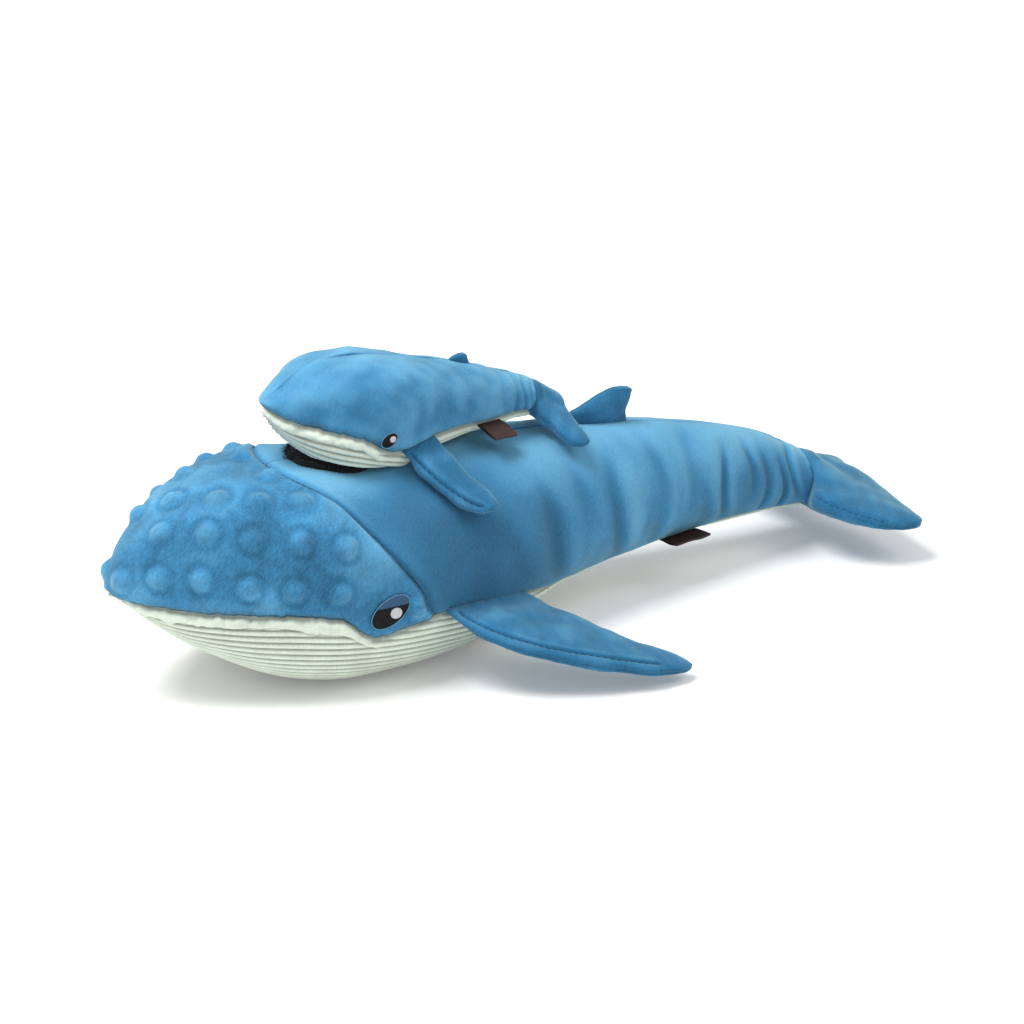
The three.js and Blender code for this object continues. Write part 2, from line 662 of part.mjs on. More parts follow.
// Fills a group with one whale: its fins, eyes, dorsal fin, flukes, label and body.
function fillWhale(whale, prefix, surface, parts, ground = []) {
  const cutters = [...ground];
  const eyeColours = { pupil: threadBlack, lid: lidNavy, glint: glintWhite };
  for (const [word, side] of [["left", -1], ["right", 1]]) {
    const fin = seamGroup(surface, parts.finShare, side, parts.finDroop, 0);
    const { plus, minus, filling } = leafPieces(parts.fin, parts.cloth, true);
    addMesh(fin, `${prefix}_${word}_fin_top`, side > 0 ? plus : minus, finBlue);
    addMesh(fin, `${prefix}_${word}_fin_under`, side > 0 ? minus : plus, finBlue);
    addMesh(fin, `${prefix}_${word}_fin_filling`, filling, fillingWhite);
    cutters.push(placedSolid(leafSeat(parts.fin), fin.matrix));
    whale.add(fin);
    for (const [piece, solid] of Object.entries(eyePieces(surface, parts.eye, side))) {
      addMesh(whale, `${prefix}_${word}_eye_${piece}`, solid, eyeColours[piece]);
    }
  }

  const dorsal = backGroup(surface, parts.dorsalShare);
  const { plus: dorsalLeft, minus: dorsalRight, filling: dorsalFilling } = leafPieces(
    parts.dorsal, parts.cloth, parts.dorsalStuffed);
  addMesh(dorsal, `${prefix}_dorsal_fin_left`, dorsalLeft, finBlue);
  addMesh(dorsal, `${prefix}_dorsal_fin_right`, dorsalRight, finBlue);
  if (dorsalFilling) addMesh(dorsal, `${prefix}_dorsal_fin_filling`, dorsalFilling, fillingWhite);
  cutters.push(placedSolid(leafSeat(parts.dorsal), dorsal.matrix));
  whale.add(dorsal);

  const tail = tailGroup(surface.shape, parts.flukePitch);
  const flukes = flukePieces(parts.fluke, parts.cloth);
  addMesh(tail, `${prefix}_flukes_top`, flukes.plus, finBlue);
  addMesh(tail, `${prefix}_flukes_under`, flukes.minus, finBlue);
  addMesh(tail, `${prefix}_flukes_filling`, flukes.filling, fillingWhite);
  const seatRadius = (parts.fluke.radius + seamGap) / Math.cos(Math.PI / (2 * seatSides)) ** 2;
  cutters.push(placedSolid(new THREE.SphereGeometry(seatRadius, 2 * seatSides, seatSides), tail.matrix));
  whale.add(tail);

  const label = seamGroup(surface, parts.labelShare, -1, parts.labelDroop, parts.labelLift);
  addMesh(label, `${prefix}_label`, solidOf(labelGeometry(parts.labelWidth, parts.labelReach)), labelBrown);
  whale.add(label);

  const colours = { filling: fillingWhite, belly_panel: mint };
  for (const [piece, solid] of Object.entries(bodyPieces(surface, cutters))) {
    addMesh(whale, `${prefix}_${piece}`, solid, colours[piece] ?? velourBlue);
  }
}

const finShape = {
  swellShares: [[0, 0], [0.06, 0], [0.26, 1], [1, 1]],
  taperShares: [[0, 1], [0.7, 0.95], [0.92, 0.66], [1, 0.34]],
  ringShares: [0.06, 0.14, 0.26, 0.42, 0.6, 0.78, 0.9, 0.97, 0.995],
};
const motherFinEdges = {
  ...finShape,
  leadingShares: [
    [0, -0.5], [0.2, -0.47], [0.4, -0.31], [0.55, -0.11], [0.7, 0.18], [0.85, 0.54], [0.95, 0.84], [1, 1.08],
  ],
  trailingShares: [
    [0, 0.5], [0.15, 0.56], [0.3, 0.69], [0.6, 0.92], [0.8, 1.16], [0.9, 1.26], [0.96, 1.29], [1, 1.22],
  ],
};
const calfFinEdges = {
  ...finShape,
  leadingShares: [
    [0, -0.5], [0.2, -0.5], [0.4, -0.44], [0.6, -0.31], [0.8, -0.14], [0.9, 0.01], [0.96, 0.16], [1, 0.38],
  ],
  trailingShares: [
    [0, 0.5], [0.15, 0.5], [0.4, 0.52], [0.6, 0.59], [0.8, 0.67], [0.9, 0.69], [0.96, 0.67], [1, 0.56],
  ],
};
const dorsalEdges = {
  leadingShares: [[0, -0.5], [0.3, -0.36], [0.6, -0.12], [0.85, 0.12], [1, 0.3]],
  trailingShares: [[0, 0.5], [0.3, 0.49], [0.7, 0.5], [0.9, 0.5], [1, 0.45]],
  swellShares: [[0, 0], [0.4, 1], [1, 1]],
  taperShares: [[0, 1], [0.5, 0.9], [1, 0.45]],
  ringShares: [0.25, 0.5, 0.7, 0.87, 0.98],
};
const flukeShape = {
  ringShares: [0, 0.2, 0.42, 0.65, 0.83, 0.94, 0.99],
  sides: 10,
  ballSides: 14,
};
// A wedge's shares of the chord behind the hinge, and its half width and half height as shares of the
// ball's radius.
const motherFlukeEdges = {
  ...flukeShape,
  ringShares: [0, 0.2, 0.32, 0.46, 0.65, 0.83, 0.94, 0.99],
  leadingShares: [
    [0, 0.14], [0.2, 0.1], [0.32, -0.17], [0.45, -0.28], [0.6, -0.24], [0.8, 0], [0.92, 0.26], [1, 0.66],
  ],
  trailingShares: [[0, 0.82], [0.15, 0.95], [0.4, 1], [0.7, 1], [0.9, 0.97], [1, 0.82]],
  taperShares: [[0, 1], [0.15, 0.97], [0.35, 0.84], [0.6, 0.63], [0.85, 0.42], [1, 0.18]],
  wedgeShares: [
    [0, 0.94, 0.94], [0.12, 0.96, 0.92], [0.2, 1, 0.83], [0.34, 1.2, 0.84], [0.5, 1.3, 0.72], [0.8, 1.2, 0.42],
  ],
};
const calfFlukeEdges = {
  ...flukeShape,
  leadingShares: [[0, 0.1], [0.2, 0.12], [0.5, 0.2], [0.8, 0.36], [0.93, 0.52], [1, 0.78]],
  trailingShares: [[0, 0.8], [0.2, 0.84], [0.5, 0.9], [0.8, 1.02], [0.93, 1.05], [1, 0.96]],
  taperShares: [[0, 1], [0.6, 0.95], [0.9, 0.6], [1, 0.3]],
  wedgeShares: [[0, 0.92, 0.92], [0.25, 1, 0.84], [0.5, 1.05, 0.6], [0.78, 1, 0.36]],
};

const mother = bodySurface(motherShape);
const motherFlukeDroop = 2 * radians;
const motherEyeShare = 0.292;
const motherEyeHeightShare = 0.422;
const motherParts = {
  cloth: motherLimbCloth,
  finShare: 0.433,
  finDroop: 12.6 * radians,
  fin: {
    ...motherFinEdges,
    span: motherFinSpan,
    root: motherFinRoot,
    thickness: motherFinThickness,
    neck: motherFinNeck,
    sides: 10,
  },
  dorsalShare: 0.665,
  dorsalStuffed: true,
  dorsal: {
    ...dorsalEdges,
    span: motherDorsalSpan,
    root: motherDorsalRoot,
    thickness: motherDorsalThickness,
    neck: motherDorsalNeck,
    sides: 10,
  },
  flukePitch: 17 * radians,
  fluke: {
    ...motherFlukeEdges,
    span: motherFlukeSpan,
    chord: motherFlukeChord,
    thickness: motherFlukeThickness,
    radius: tailRadius(motherShape),
    droop: (y) => -Math.abs(y) * Math.tan(motherFlukeDroop),
  },
  eye: {
    x: motherEyeShare * motherLength,
    z: motherEyeHeightShare * motherHeight,
    length: motherEyeLength,
    height: motherEyeHeight,
    tilt: 30 * radians,
    glintLength: motherGlintLength,
    glintHeight: motherGlintHeight,
    glintAlongShare: 0.086,
    glintUpShare: -0.154,
    lidShare: 0.21,
  },
  labelShare: 0.777,
  labelDroop: -7 * radians,
  labelWidth: motherLabelWidth,
  labelReach: motherLabelReach,
  labelLift: motherLabelLift,
};

// The ground presses the mother's belly flat.
const groundSolid = solidOf(boxGeometry(
  new THREE.Vector3(-cutOverrun, -motherWidth, -cutOverrun),
  new THREE.Vector3(motherLength + cutOverrun, motherWidth, restFlatDepth),
));

const motherGroup = new THREE.Group();
motherGroup.position.set(-restShare * motherLength, 0, -restFlatDepth);
fillWhale(motherGroup, "mother", mother, motherParts, [groundSolid]);

// The loop half of the patch lies on the mother's back, on the midline behind the head panel.
const patchShare = 0.302;
const patchX = patchShare * motherLength;
const patchRings = 3;
const patchSides = 24;
const onBack = (x, y) => mother.above(patchX + x, y);
const patchHalf = (diameter, low) => discSolid(
  onBack, new THREE.Vector2(diameter, diameter), 0, [low, low + patchThickness], patchRings, patchSides);
addMesh(motherGroup, "mother_loop_patch", patchHalf(patchDiameter, patchLift), threadBlack);

// The calf lies along the mother's back, tail down.
const calfPitch = 9.4 * radians;
const calfSeatShare = 0.289; // share of the calf's length over the middle of the patch
const patchStack = patchLift + 2 * patchThickness + patchGap + seamGap;
const calfGroup = new THREE.Group();
calfGroup.rotation.y = calfPitch;
const calfSeat = new THREE.Vector3(calfSeatShare * calfLength, 0, 0).applyEuler(calfGroup.rotation);
calfGroup.position.copy(mother.above(patchX, 0).point).sub(calfSeat);
calfGroup.position.z += patchStack - calfPress;
calfGroup.updateMatrix();

// The calf's belly is pressed in over the patch, and round it the calf stays clear of the mother's back.
const fadeShare = 0.6; // share of the patch's radius over which the pressed place fades out
const calfFromMother = calfGroup.matrix.clone().invert();
function pressOnMother(point) {
  const place = point.clone().applyMatrix4(calfGroup.matrix);
  const radius = patchDiameter / 2;
  const away = Math.hypot(place.x - patchX, place.y);
  const inPatch = THREE.MathUtils.clamp(1 + (radius - away) / (fadeShare * radius), 0, 1);
  if (place.x <= 0 || place.x >= motherLength || away > calfLength) return point;
  const clear = seamGap + pressSlack + (patchStack - seamGap) * inPatch;
  const floor = mother.above(place.x, place.y).point.z + clear;
  if (place.z >= floor || Math.abs(place.y) > calfWidth / 2) return point;
  place.z = floor;
  return place.applyMatrix4(calfFromMother);
}

const calf = bodySurface(calfShape, pressOnMother);
const calfFlukeDroop = 22 * radians;
const calfEyeShare = 0.355;
const calfEyeHeightShare = 0.315;
const calfParts = {
  cloth: calfLimbCloth,
  finShare: 0.49,
  finDroop: 40 * radians,
  fin: {
    ...calfFinEdges,
    span: calfFinSpan,
    root: calfFinRoot,
    thickness: calfFinThickness,
    neck: calfFinNeck,
    sides: 10,
  },
  dorsalShare: 0.7,
  dorsalStuffed: false,
  dorsal: {
    ...dorsalEdges,
    span: calfDorsalSpan,
    root: calfDorsalRoot,
    thickness: calfDorsalThickness,
    neck: calfDorsalNeck,
    sides: 10,
  },
  flukePitch: 6 * radians,
  fluke: {
    ...calfFlukeEdges,
    span: calfFlukeSpan,
    chord: calfFlukeChord,
    thickness: calfFlukeThickness,
    radius: tailRadius(calfShape),
    droop: (y) => -Math.abs(y) * Math.tan(calfFlukeDroop),
  },
  eye: {
    x: calfEyeShare * calfLength,
    z: calfEyeHeightShare * calfHeight,
    length: calfEyeLength,
    height: calfEyeHeight,
    tilt: 35 * radians,
    glintLength: calfGlintLength,
    glintHeight: calfGlintHeight,
    glintAlongShare: 0.17,
    glintUpShare: -0.03,
  },
  labelShare: 0.79,
  labelDroop: 16 * radians,
  labelWidth: calfLabelWidth,
  labelReach: calfLabelReach,
  labelLift: calfLabelLift,
};
fillWhale(calfGroup, "calf", calf, calfParts);
motherGroup.add(calfGroup);

// The hook half of the patch is sewn to the calf's belly and lies on the loop half.
const hookHalf = patchHalf(hookDiameter, patchLift + patchThickness + patchGap);
addMesh(calfGroup, "calf_hook_patch", solidOf(geometryFrom(hookHalf).applyMatrix4(calfFromMother)), threadBlack);

const whale = new THREE.Group();
whale.add(motherGroup);

export default whale;
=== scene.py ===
"""A velour whale with a small calf on her back: the cloth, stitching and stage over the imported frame."""

import math

import bmesh
import bpy
import numpy as np
from mathutils import Matrix, Vector
from mathutils.bvhtree import BVHTree


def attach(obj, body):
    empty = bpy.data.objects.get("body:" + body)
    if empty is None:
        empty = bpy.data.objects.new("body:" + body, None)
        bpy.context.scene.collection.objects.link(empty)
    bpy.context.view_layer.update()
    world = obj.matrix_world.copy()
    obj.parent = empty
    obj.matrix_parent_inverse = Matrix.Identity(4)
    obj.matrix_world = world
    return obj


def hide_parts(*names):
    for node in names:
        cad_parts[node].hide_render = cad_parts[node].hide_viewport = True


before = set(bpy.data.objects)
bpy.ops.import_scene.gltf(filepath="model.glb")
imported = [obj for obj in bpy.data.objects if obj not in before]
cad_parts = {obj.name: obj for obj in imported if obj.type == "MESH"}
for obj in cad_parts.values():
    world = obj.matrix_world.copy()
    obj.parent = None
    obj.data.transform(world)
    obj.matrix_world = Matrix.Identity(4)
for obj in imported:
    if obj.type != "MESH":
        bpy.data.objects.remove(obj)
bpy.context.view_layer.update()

bl_info = {
    "name": "Plush Whale and Calf",
    "version": (1, 0, 0),
    "blender": (4, 5, 0),
    "location": "3D View > Sidebar > Whale",
    "description": "Dresses a stuffed velour whale and the calf that she carries",
    "category": "Add Mesh",
}

MM = 0.001
TURN = 2 * math.pi
SIDES = {"left": -1, "right": 1}


def linear(code):
    """An sRGB hex colour as the linear red, green and blue that Blender's nodes take."""
    parts = [int(code[i:i + 2], 16) / 255 for i in (1, 3, 5)]
    return tuple(c / 12.92 if c <= 0.04045 else ((c + 0.055) / 1.055) ** 2.4 for c in parts)


# ---------------------------------------------------------------------------------------------------------
# What a user would change


def colour_property(name, description, code):
    return bpy.props.FloatVectorProperty(
        name=name, description=description, subtype="COLOR", size=3, min=0, max=1, default=linear(code))


def size_property(name, description, default):
    """A small size, which Blender holds in metres."""
    return bpy.props.FloatProperty(
        name=name, description=description, default=default, min=0, precision=5, subtype="DISTANCE",
        unit="LENGTH")


def strength_property(name, description, default, unit="NONE"):
    return bpy.props.FloatProperty(name=name, description=description, default=default, min=0, unit=unit)


class WhaleCloth(bpy.types.PropertyGroup):
    pile: colour_property("Body velour", "Colour of the pile on both bodies", "#4590C1")
    fin_pile: colour_property("Fin velour", "Colour of the pile on fins and flukes", "#337BAA")
    belly: colour_property("Belly corduroy", "Colour of the ribbed cloth", "#E6F1E1")
    dot_width: size_property("Dot width", "Across one raised dot of the head cloth", 0.0106)
    dot_height: size_property("Dot height", "How far a dot stands up", 0.0025)
    rib_pitch: size_property("Rib pitch", "From one rib of the belly cloth to the next", 0.0032)
    rib_height: size_property("Rib height", "From the bottom of a groove to the top of a rib", 0.0011)


class WhaleSewing(bpy.types.PropertyGroup):
    seam_depth: size_property("Seam depth", "How far a body's seams pull the cloth in", 0.0017)
    seam_width: size_property("Seam width", "Half the width of the valley along a seam", 0.0017)
    stitch: size_property("Stitch length", "One stitch of the seams that show", 0.0026)
    crease: size_property("Crease depth", "Depth of the deepest folds on the flanks", 0.0021)
    thread: colour_property("Seam thread", "Colour of the sewing thread", "#1F4F78")


class WhaleTrim(bpy.types.PropertyGroup):
    pupil: colour_property("Pupil thread", "Colour of the embroidered pupils", "#0F0E0E")
    lid: colour_property("Lid thread", "Colour of the mother's eyelids", "#3D6285")
    glint: colour_property("Glint thread", "Colour of the light spot in each eye", "#DEDDE2")
    outline: colour_property("Outline thread", "Colour of the line round each eye", "#6FA6C8")
    tape: colour_property("Hook-and-loop tape", "Colour of the round patch", "#141414")
    label: colour_property("Woven label", "Colour of the folded labels", "#3A251C")


class WhaleStage(bpy.types.PropertyGroup):
    floor: colour_property("Floor", "Colour of the floor", "#F4F4F3")
    key: strength_property("Key light", "Strength of the large light above", 22.0, "POWER")
    fill: strength_property("Fill light", "Strength of the weaker light behind the tail", 4.5, "POWER")
    sky: strength_property("Sky", "Strength of the even light from all round", 0.5)


# ---------------------------------------------------------------------------------------------------------
# Smooth curves and the two bodies, in millimetres as in the frame


def smooth(knots):
    """A curve through knots of (place, value) that never overshoots them."""
    x, y = np.array(knots, float).T
    rate = np.diff(y) / np.diff(x)
    turning = rate[:-1] * rate[1:] <= 0
    inner = np.where(turning, 0, 2 * rate[:-1] * rate[1:] / np.where(turning, 1, rate[:-1] + rate[1:]))
    slope = np.concatenate([rate[:1], inner, rate[-1:]])

    def curve(place):
        place = np.asarray(place, float)
        i = np.clip(np.searchsorted(x, place) - 1, 0, len(x) - 2)
        step = x[i + 1] - x[i]
        t = (place - x[i]) / step
        start = (1 + 2 * t) * (1 - t) ** 2 * y[i] + t * (1 - t) ** 2 * step * slope[i]
        return start + t ** 2 * (3 - 2 * t) * y[i + 1] + t ** 2 * (t - 1) * step * slope[i + 1]

    return curve


def bent(value, power):
    return np.sign(value) * np.abs(value) ** power


def fade(value, low, high):
    """0 below low, 1 above high and smooth between them."""
    t = np.clip((value - low) / (high - low), 0, 1)
    return t * t * (3 - 2 * t)


def bump(distance, width):
    """A soft hump of height 1 and about that half width."""
    return np.exp(-(distance / width) ** 2)


def closing(share, start, end=1):
    """1 up to a start, and from there round to 0 at an end."""
    return np.sqrt(np.clip(1 - np.clip((share - start) / (end - start), 0, 1) ** 2, 0, 1))


NOSE_BLEND = 0.25  # stations crowd at the nose, so that it closes round


def station_at(share):
    return (share + np.sqrt(share ** 2 + 4 * (1 + NOSE_BLEND) * NOSE_BLEND * share)) / (2 * (1 + NOSE_BLEND))


def share_at(station):
    return (1 + NOSE_BLEND) * station ** 2 / (station + NOSE_BLEND)


def as_points(x, y, z):
    """Points from three numbers or grids, whichever way they vary."""
    return np.stack(np.broadcast_arrays(x, y, z), -1)


def all_round(count):
    """Even angles once round."""
    return np.linspace(0, TURN, count, endpoint=False)


def unit(vectors):
    return vectors / np.maximum(np.linalg.norm(vectors, axis=-1, keepdims=True), 1e-9)


class Body:
    """The outer surface of a whale in its own frame: x back from the nose, +y to its right, z up. Its lines
    are shares of the width or height over shares of the length, and place puts it in the row frame."""

    def __init__(self, length, width, height, lines, place, press=None):
        self.length, self.width, self.height = length, width, height
        self.place, self.press = place, press
        self.line = {name: smooth([(station_at(share), value) for share, value in knots])
                     for name, knots in lines.items()}

    def section(self, station, up):
        middle = self.line["middle"](station)
        reach = np.where(up, self.line["back"](station) - middle, middle - self.line["belly"](station))
        half = self.width / 2 * self.line["half"](station)
        power = np.where(up, self.line["fullness"](station), self.line["under"](station))
        return half, self.height * middle, self.height * reach, power

    def point(self, station, angle):
        """Angle 0 is the right flank at its widest, a quarter turn the back."""
        station, angle = np.broadcast_arrays(station, angle)
        half, centre, reach, power = self.section(station, np.sin(angle) > 0)
        points = as_points(
            self.length * share_at(station),
            half * bent(np.cos(angle), 2 / power),
            centre + reach * bent(np.sin(angle), 2 / power))
        return self.press(points) if self.press else points

    def normal(self, station, angle):
        step = 0.002
        after, before = np.minimum(station + step, 1), np.maximum(station - step, 0)
        along = self.point(after, angle) - self.point(before, angle)
        round_it = self.point(station, angle + step) - self.point(station, angle - step)
        return unit(np.cross(round_it, along))

    def angle_beside(self, station, z):
        up = z > self.height * self.line["middle"](station)
        _, centre, reach, power = self.section(station, up)
        share = np.clip(np.abs(z - centre) / np.maximum(reach, 1e-6), 0, 1)
        return np.where(up, 1, -1) * np.arcsin(share ** (power / 2))

    def seam_angle(self, station):
        """Along the mouth the pile laps over the seam, which leaves its line slightly uneven."""
        x = self.length * share_at(station)
        lap = 0.28 * np.sin(x / 0.62) * np.sin(x / 3.7) + 0.34 * np.sin(x / 1.31 + 1) * np.sin(x / 7.9)
        lap *= fade(x, 2, 8) * (1 - fade(x / self.length, 0.26, 0.34))
        return self.angle_beside(station, self.height * self.line["seam"](station) + lap)

    def height_over(self, x, y):
        """The height of the back over a place."""
        half, centre, reach, power = self.section(station_at(np.clip(x / self.length, 0, 1)), True)
        out = np.clip(np.abs(y) / np.maximum(half, 1e-6), 0, 1)
        return centre + reach * (1 - out ** power) ** (1 / power)

    def back_at(self, x, y):
        """Point and normal on the back."""
        station = station_at(x / self.length)
        half, _, _, power = self.section(station, True)
        angle = np.arccos(np.clip(np.abs(y) / half, 0, 1) ** (power / 2))
        angle = np.where(y >= 0, angle, math.pi - angle)
        return self.point(station, angle), self.normal(station, angle)

    def flank_at(self, x, z, side):
        """Point and normal on a flank."""
        station = station_at(x / self.length)
        angle = self.angle_beside(station, z)
        angle = angle if side > 0 else math.pi - angle
        return self.point(station, angle), self.normal(station, angle)

    def side_seam(self, share, side):
        seam = self.seam_angle(station_at(share))
        return self.point(station_at(share), seam if side > 0 else math.pi - seam)


def turned(axis, degrees, at=(0, 0, 0)):
    """A 4x4 place: a turn about an axis, set down at a point."""
    place = Matrix.Rotation(math.radians(degrees), 4, axis)
    place.translation = at
    return np.array(place)


def moved(points, place):
    return points @ place[:3, :3].T + place[:3, 3]


REST_SHARE = 0.35
MOTHER_LINES = {
    "half": [(0, 0), (0.02, 0.21), (0.08, 0.52), (0.16, 0.8), (0.25, 0.98), (0.32, 1), (0.43, 0.92),
             (0.6, 0.65), (0.75, 0.48), (0.9, 0.34), (1, 0.25)],
    "back": [(0, 0.54), (0.03, 0.765), (0.1, 0.93), (0.15, 0.99), (0.2, 1), (0.24, 0.996), (0.3, 0.972),
             (0.42, 0.96), (0.65, 0.87), (0.8, 0.776), (0.92, 0.637), (1, 0.475)],
    "middle": [(0, 0.54), (0.08, 0.52), (0.2, 0.48), (0.45, 0.46), (0.65, 0.475), (0.85, 0.45), (1, 0.33)],
    "belly": [(0, 0.54), (0.03, 0.428), (0.1, 0.222), (0.2, 0.04), (0.27, 0.003), (REST_SHARE, 0),
              (0.43, 0.008), (0.52, 0.105), (0.6, 0.155), (0.7, 0.187), (0.8, 0.213), (0.92, 0.211),
              (1, 0.19)],
    "seam": [(0, 0.54), (0.02, 0.513), (0.07, 0.487), (0.18, 0.455), (0.234, 0.415), (0.26, 0.33),
             (0.28, 0.295), (0.323, 0.32), (0.366, 0.34), (0.43, 0.32), (0.49, 0.285), (0.56, 0.235),
             (0.62, 0.218), (0.7, 0.224), (0.85, 0.242), (1, 0.22)],
    "fullness": [(0, 2.1), (0.06, 2.7), (0.15, 3.1), (0.22, 3.1), (0.3, 2.5), (0.45, 2.4), (0.65, 2.2),
                 (1, 2.3)],
    "under": [(0, 2.1), (0.06, 2.5), (0.15, 3), (0.3, 3.4), (0.45, 3.1), (0.65, 2.2), (1, 2.3)],
}
CALF_LINES = {
    "half": [(0, 0), (0.02, 0.22), (0.08, 0.52), (0.16, 0.8), (0.25, 0.97), (0.34, 1), (0.45, 0.93),
             (0.6, 0.75), (0.75, 0.56), (0.9, 0.38), (1, 0.28)],
    "back": [(0, 0.47), (0.03, 0.585), (0.1, 0.775), (0.2, 0.912), (0.33, 0.965), (0.5, 0.94), (0.7, 0.872),
             (0.85, 0.8), (1, 0.69)],
    "middle": [(0, 0.47), (0.08, 0.505), (0.2, 0.523), (0.6, 0.516), (1, 0.523)],
    "belly": [(0, 0.47), (0.03, 0.34), (0.1, 0.15), (0.2, -0.06), (0.3, -0.1), (0.43, -0.11), (0.5, -0.03),
              (0.6, 0.09), (0.7, 0.175), (0.85, 0.262), (1, 0.349)],
    "seam": [(0, 0.47), (0.03, 0.405), (0.1, 0.37), (0.17, 0.356), (0.25, 0.325), (0.3, 0.275),
             (0.34, 0.216), (0.39, 0.172), (0.44, 0.178), (0.5, 0.232), (0.56, 0.288), (0.63, 0.31),
             (0.78, 0.347), (1, 0.413)],
    "fullness": [(0, 2.1), (0.2, 2.5), (0.5, 2.4), (1, 2.1)],
    "under": [(0, 2.1), (0.12, 2.9), (0.25, 3.6), (0.42, 3.4), (0.6, 2.6), (1, 2.1)],
}
GROUND = 0.5  # the mother's belly is pressed this flat

mother = Body(380, 116, 100, MOTHER_LINES, turned("Y", 0, (-REST_SHARE * 380, 0, -GROUND)))

PATCH_X = 0.302 * mother.length
TAPE_AT, TAPE_RADIUS = (PATCH_X - 4, -2), 20.5
HOOK_RADIUS = 18.5
PATCH_THICK = 1.6
PATCH_LIFT = 0.9
PATCH_STACK = PATCH_LIFT + 2 * PATCH_THICK + 0.75
CALF_PITCH = 9.4
CALF_LENGTH = 141
calf_turn = turned("Y", CALF_PITCH)
calf_seat = Vector((PATCH_X, 0, float(mother.height_over(PATCH_X, 0)) + PATCH_STACK - 4.1))
calf_on_mother = turned("Y", CALF_PITCH, calf_seat - Vector(calf_turn[:3, 0] * 0.289 * CALF_LENGTH))
mother_to_calf = np.linalg.inv(calf_on_mother)


def press_on_mother(points):
    """The calf's belly gives way to the patch, and round it the calf stays clear of her back."""
    there = moved(points, calf_on_mother)
    x, y, z = there[..., 0], there[..., 1], there[..., 2]
    away = np.hypot(x - TAPE_AT[0], y - TAPE_AT[1])
    in_patch = np.clip(1 + (TAPE_RADIUS - away) / (0.6 * TAPE_RADIUS), 0, 1)
    floor = mother.height_over(x, y) + 1.1 + (PATCH_STACK - 0.3) * in_patch
    lifted = (z < floor) & (x > 0) & (x < mother.length) & (np.abs(y) <= 30)
    there[..., 2] = np.where(lifted, floor, z)
    return np.where(lifted[..., None], moved(there, mother_to_calf), points)


calf = Body(CALF_LENGTH, 60, 48.5, CALF_LINES, mother.place @ calf_on_mother, press_on_mother)


# ---------------------------------------------------------------------------------------------------------
# Meshes


def grid_faces(rows, cols, closed=False):
    """Quads of a grid of points, wound so that they face out where columns run right of the way of rows."""
    i, j = np.meshgrid(np.arange(rows - 1), np.arange(cols if closed else cols - 1), indexing="ij")
    a = i * cols + j
    b = i * cols + (j + 1) % cols
    return np.stack([a, a + cols, b + cols, b], -1).reshape(-1, 4)


def give_painted_shade(mesh, rise):
    """Says how far each vertex stands over the smooth form, which its material reads to paint shade into
    hollows and light onto what stands up.
    """
    mesh.attributes.new("rise", "FLOAT", "POINT").data.foreach_set("value", np.ravel(rise).astype(np.float32))


def new_mesh(name, points, faces, uv=None, rise=None):
    """A smooth-shaded object from points in millimetres in the row frame."""
    mesh = bpy.data.meshes.new(name)
    places = (np.asarray(points).reshape(-1, 3) * MM).tolist()
    mesh.from_pydata(places, [], [list(map(int, face)) for face in faces])
    mesh.shade_smooth()
    if uv is not None:
        corner = np.empty(len(mesh.loops), np.int32)
        mesh.loops.foreach_get("vertex_index", corner)
        layer = mesh.uv_layers.new(name="cloth")
        layer.data.foreach_set("uv", (np.asarray(uv).reshape(-1, 2)[corner] * MM).ravel())
    if rise is not None:
        give_painted_shade(mesh, rise)
    mesh.update()
    piece = bpy.data.objects.new(name, mesh)
    bpy.context.scene.collection.objects.link(piece)
    return piece


def of_vertices(mesh, what="co"):
    """A vector of each vertex, in metres where it is a place."""
    values = np.empty(len(mesh.vertices) * 3)
    mesh.vertices.foreach_get(what, values)
    return values.reshape(-1, 3)


def set_places(mesh, places):
    mesh.vertices.foreach_set("co", places.ravel())
    mesh.update()


def face_outwards(piece):
    """Winds a closed piece's faces so that they face out."""
    shape = bmesh.new()
    shape.from_mesh(piece.data)
    bmesh.ops.remove_doubles(shape, verts=shape.verts, dist=1e-6)
    bmesh.ops.recalc_face_normals(shape, faces=shape.faces)
    shape.to_mesh(piece.data)
    shape.free()
    piece.data.shade_smooth()


def dress(piece, body, material, nodes=()):
    """Gives a piece its finish and its body, and hides the frame nodes that it stands for."""
    piece.data.materials.clear()
    piece.data.materials.append(material)
    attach(piece, body)
    if nodes:
        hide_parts(*nodes)
    return piece


def waves(points, length, seed):
    """A smooth unevenness from about -1 to 1, with humps about as long as given."""
    chance = np.random.default_rng(seed)
    ways = unit(chance.normal(size=(9, 3))) * (TURN / (length * chance.uniform(0.7, 1.5, (9, 1))))
    phases = chance.uniform(0, TURN, 9)
    return sum(np.sin(points @ way + phase) for way, phase in zip(ways, phases)) / 3.2


def eased(count, pull=0.7):
    """Shares from 0 to 1 that crowd at both ends."""
    u = np.linspace(0, 1, count)
    return u - pull * np.sin(TURN * u) / TURN


def run_along(points, axis=0):
    """Distances from the start of a line, or of each row or column of a grid."""
    steps = np.linalg.norm(np.diff(points, axis=axis), axis=-1)
    return np.insert(np.cumsum(steps, axis=axis), 0, 0, axis=axis)


def read_at(distances, run, points):
    """Points at distances along a line."""
    return np.stack([np.interp(distances, run, points[:, k]) for k in range(3)], -1)


def seam_relief(distance, along, sewing, puckers=0.28):
    """A seam pulls the cloth in, puffs it up beside it and puckers it between its stitches."""
    depth, width = sewing.seam_depth / MM, sewing.seam_width / MM
    puff, puff_at, puff_width, pucker_pitch = 0.35, 4.5, 3, 5.2
    pucker = 0.5 + 0.5 * np.cos(TURN * along / pucker_pitch + 1.7 * np.sin(along / 7.3))
    return (-depth * bump(distance, width) + puff * bump(distance - puff_at, puff_width)
            - puckers * pucker * np.exp(-distance / 3) * fade(distance, 0, 1.2))


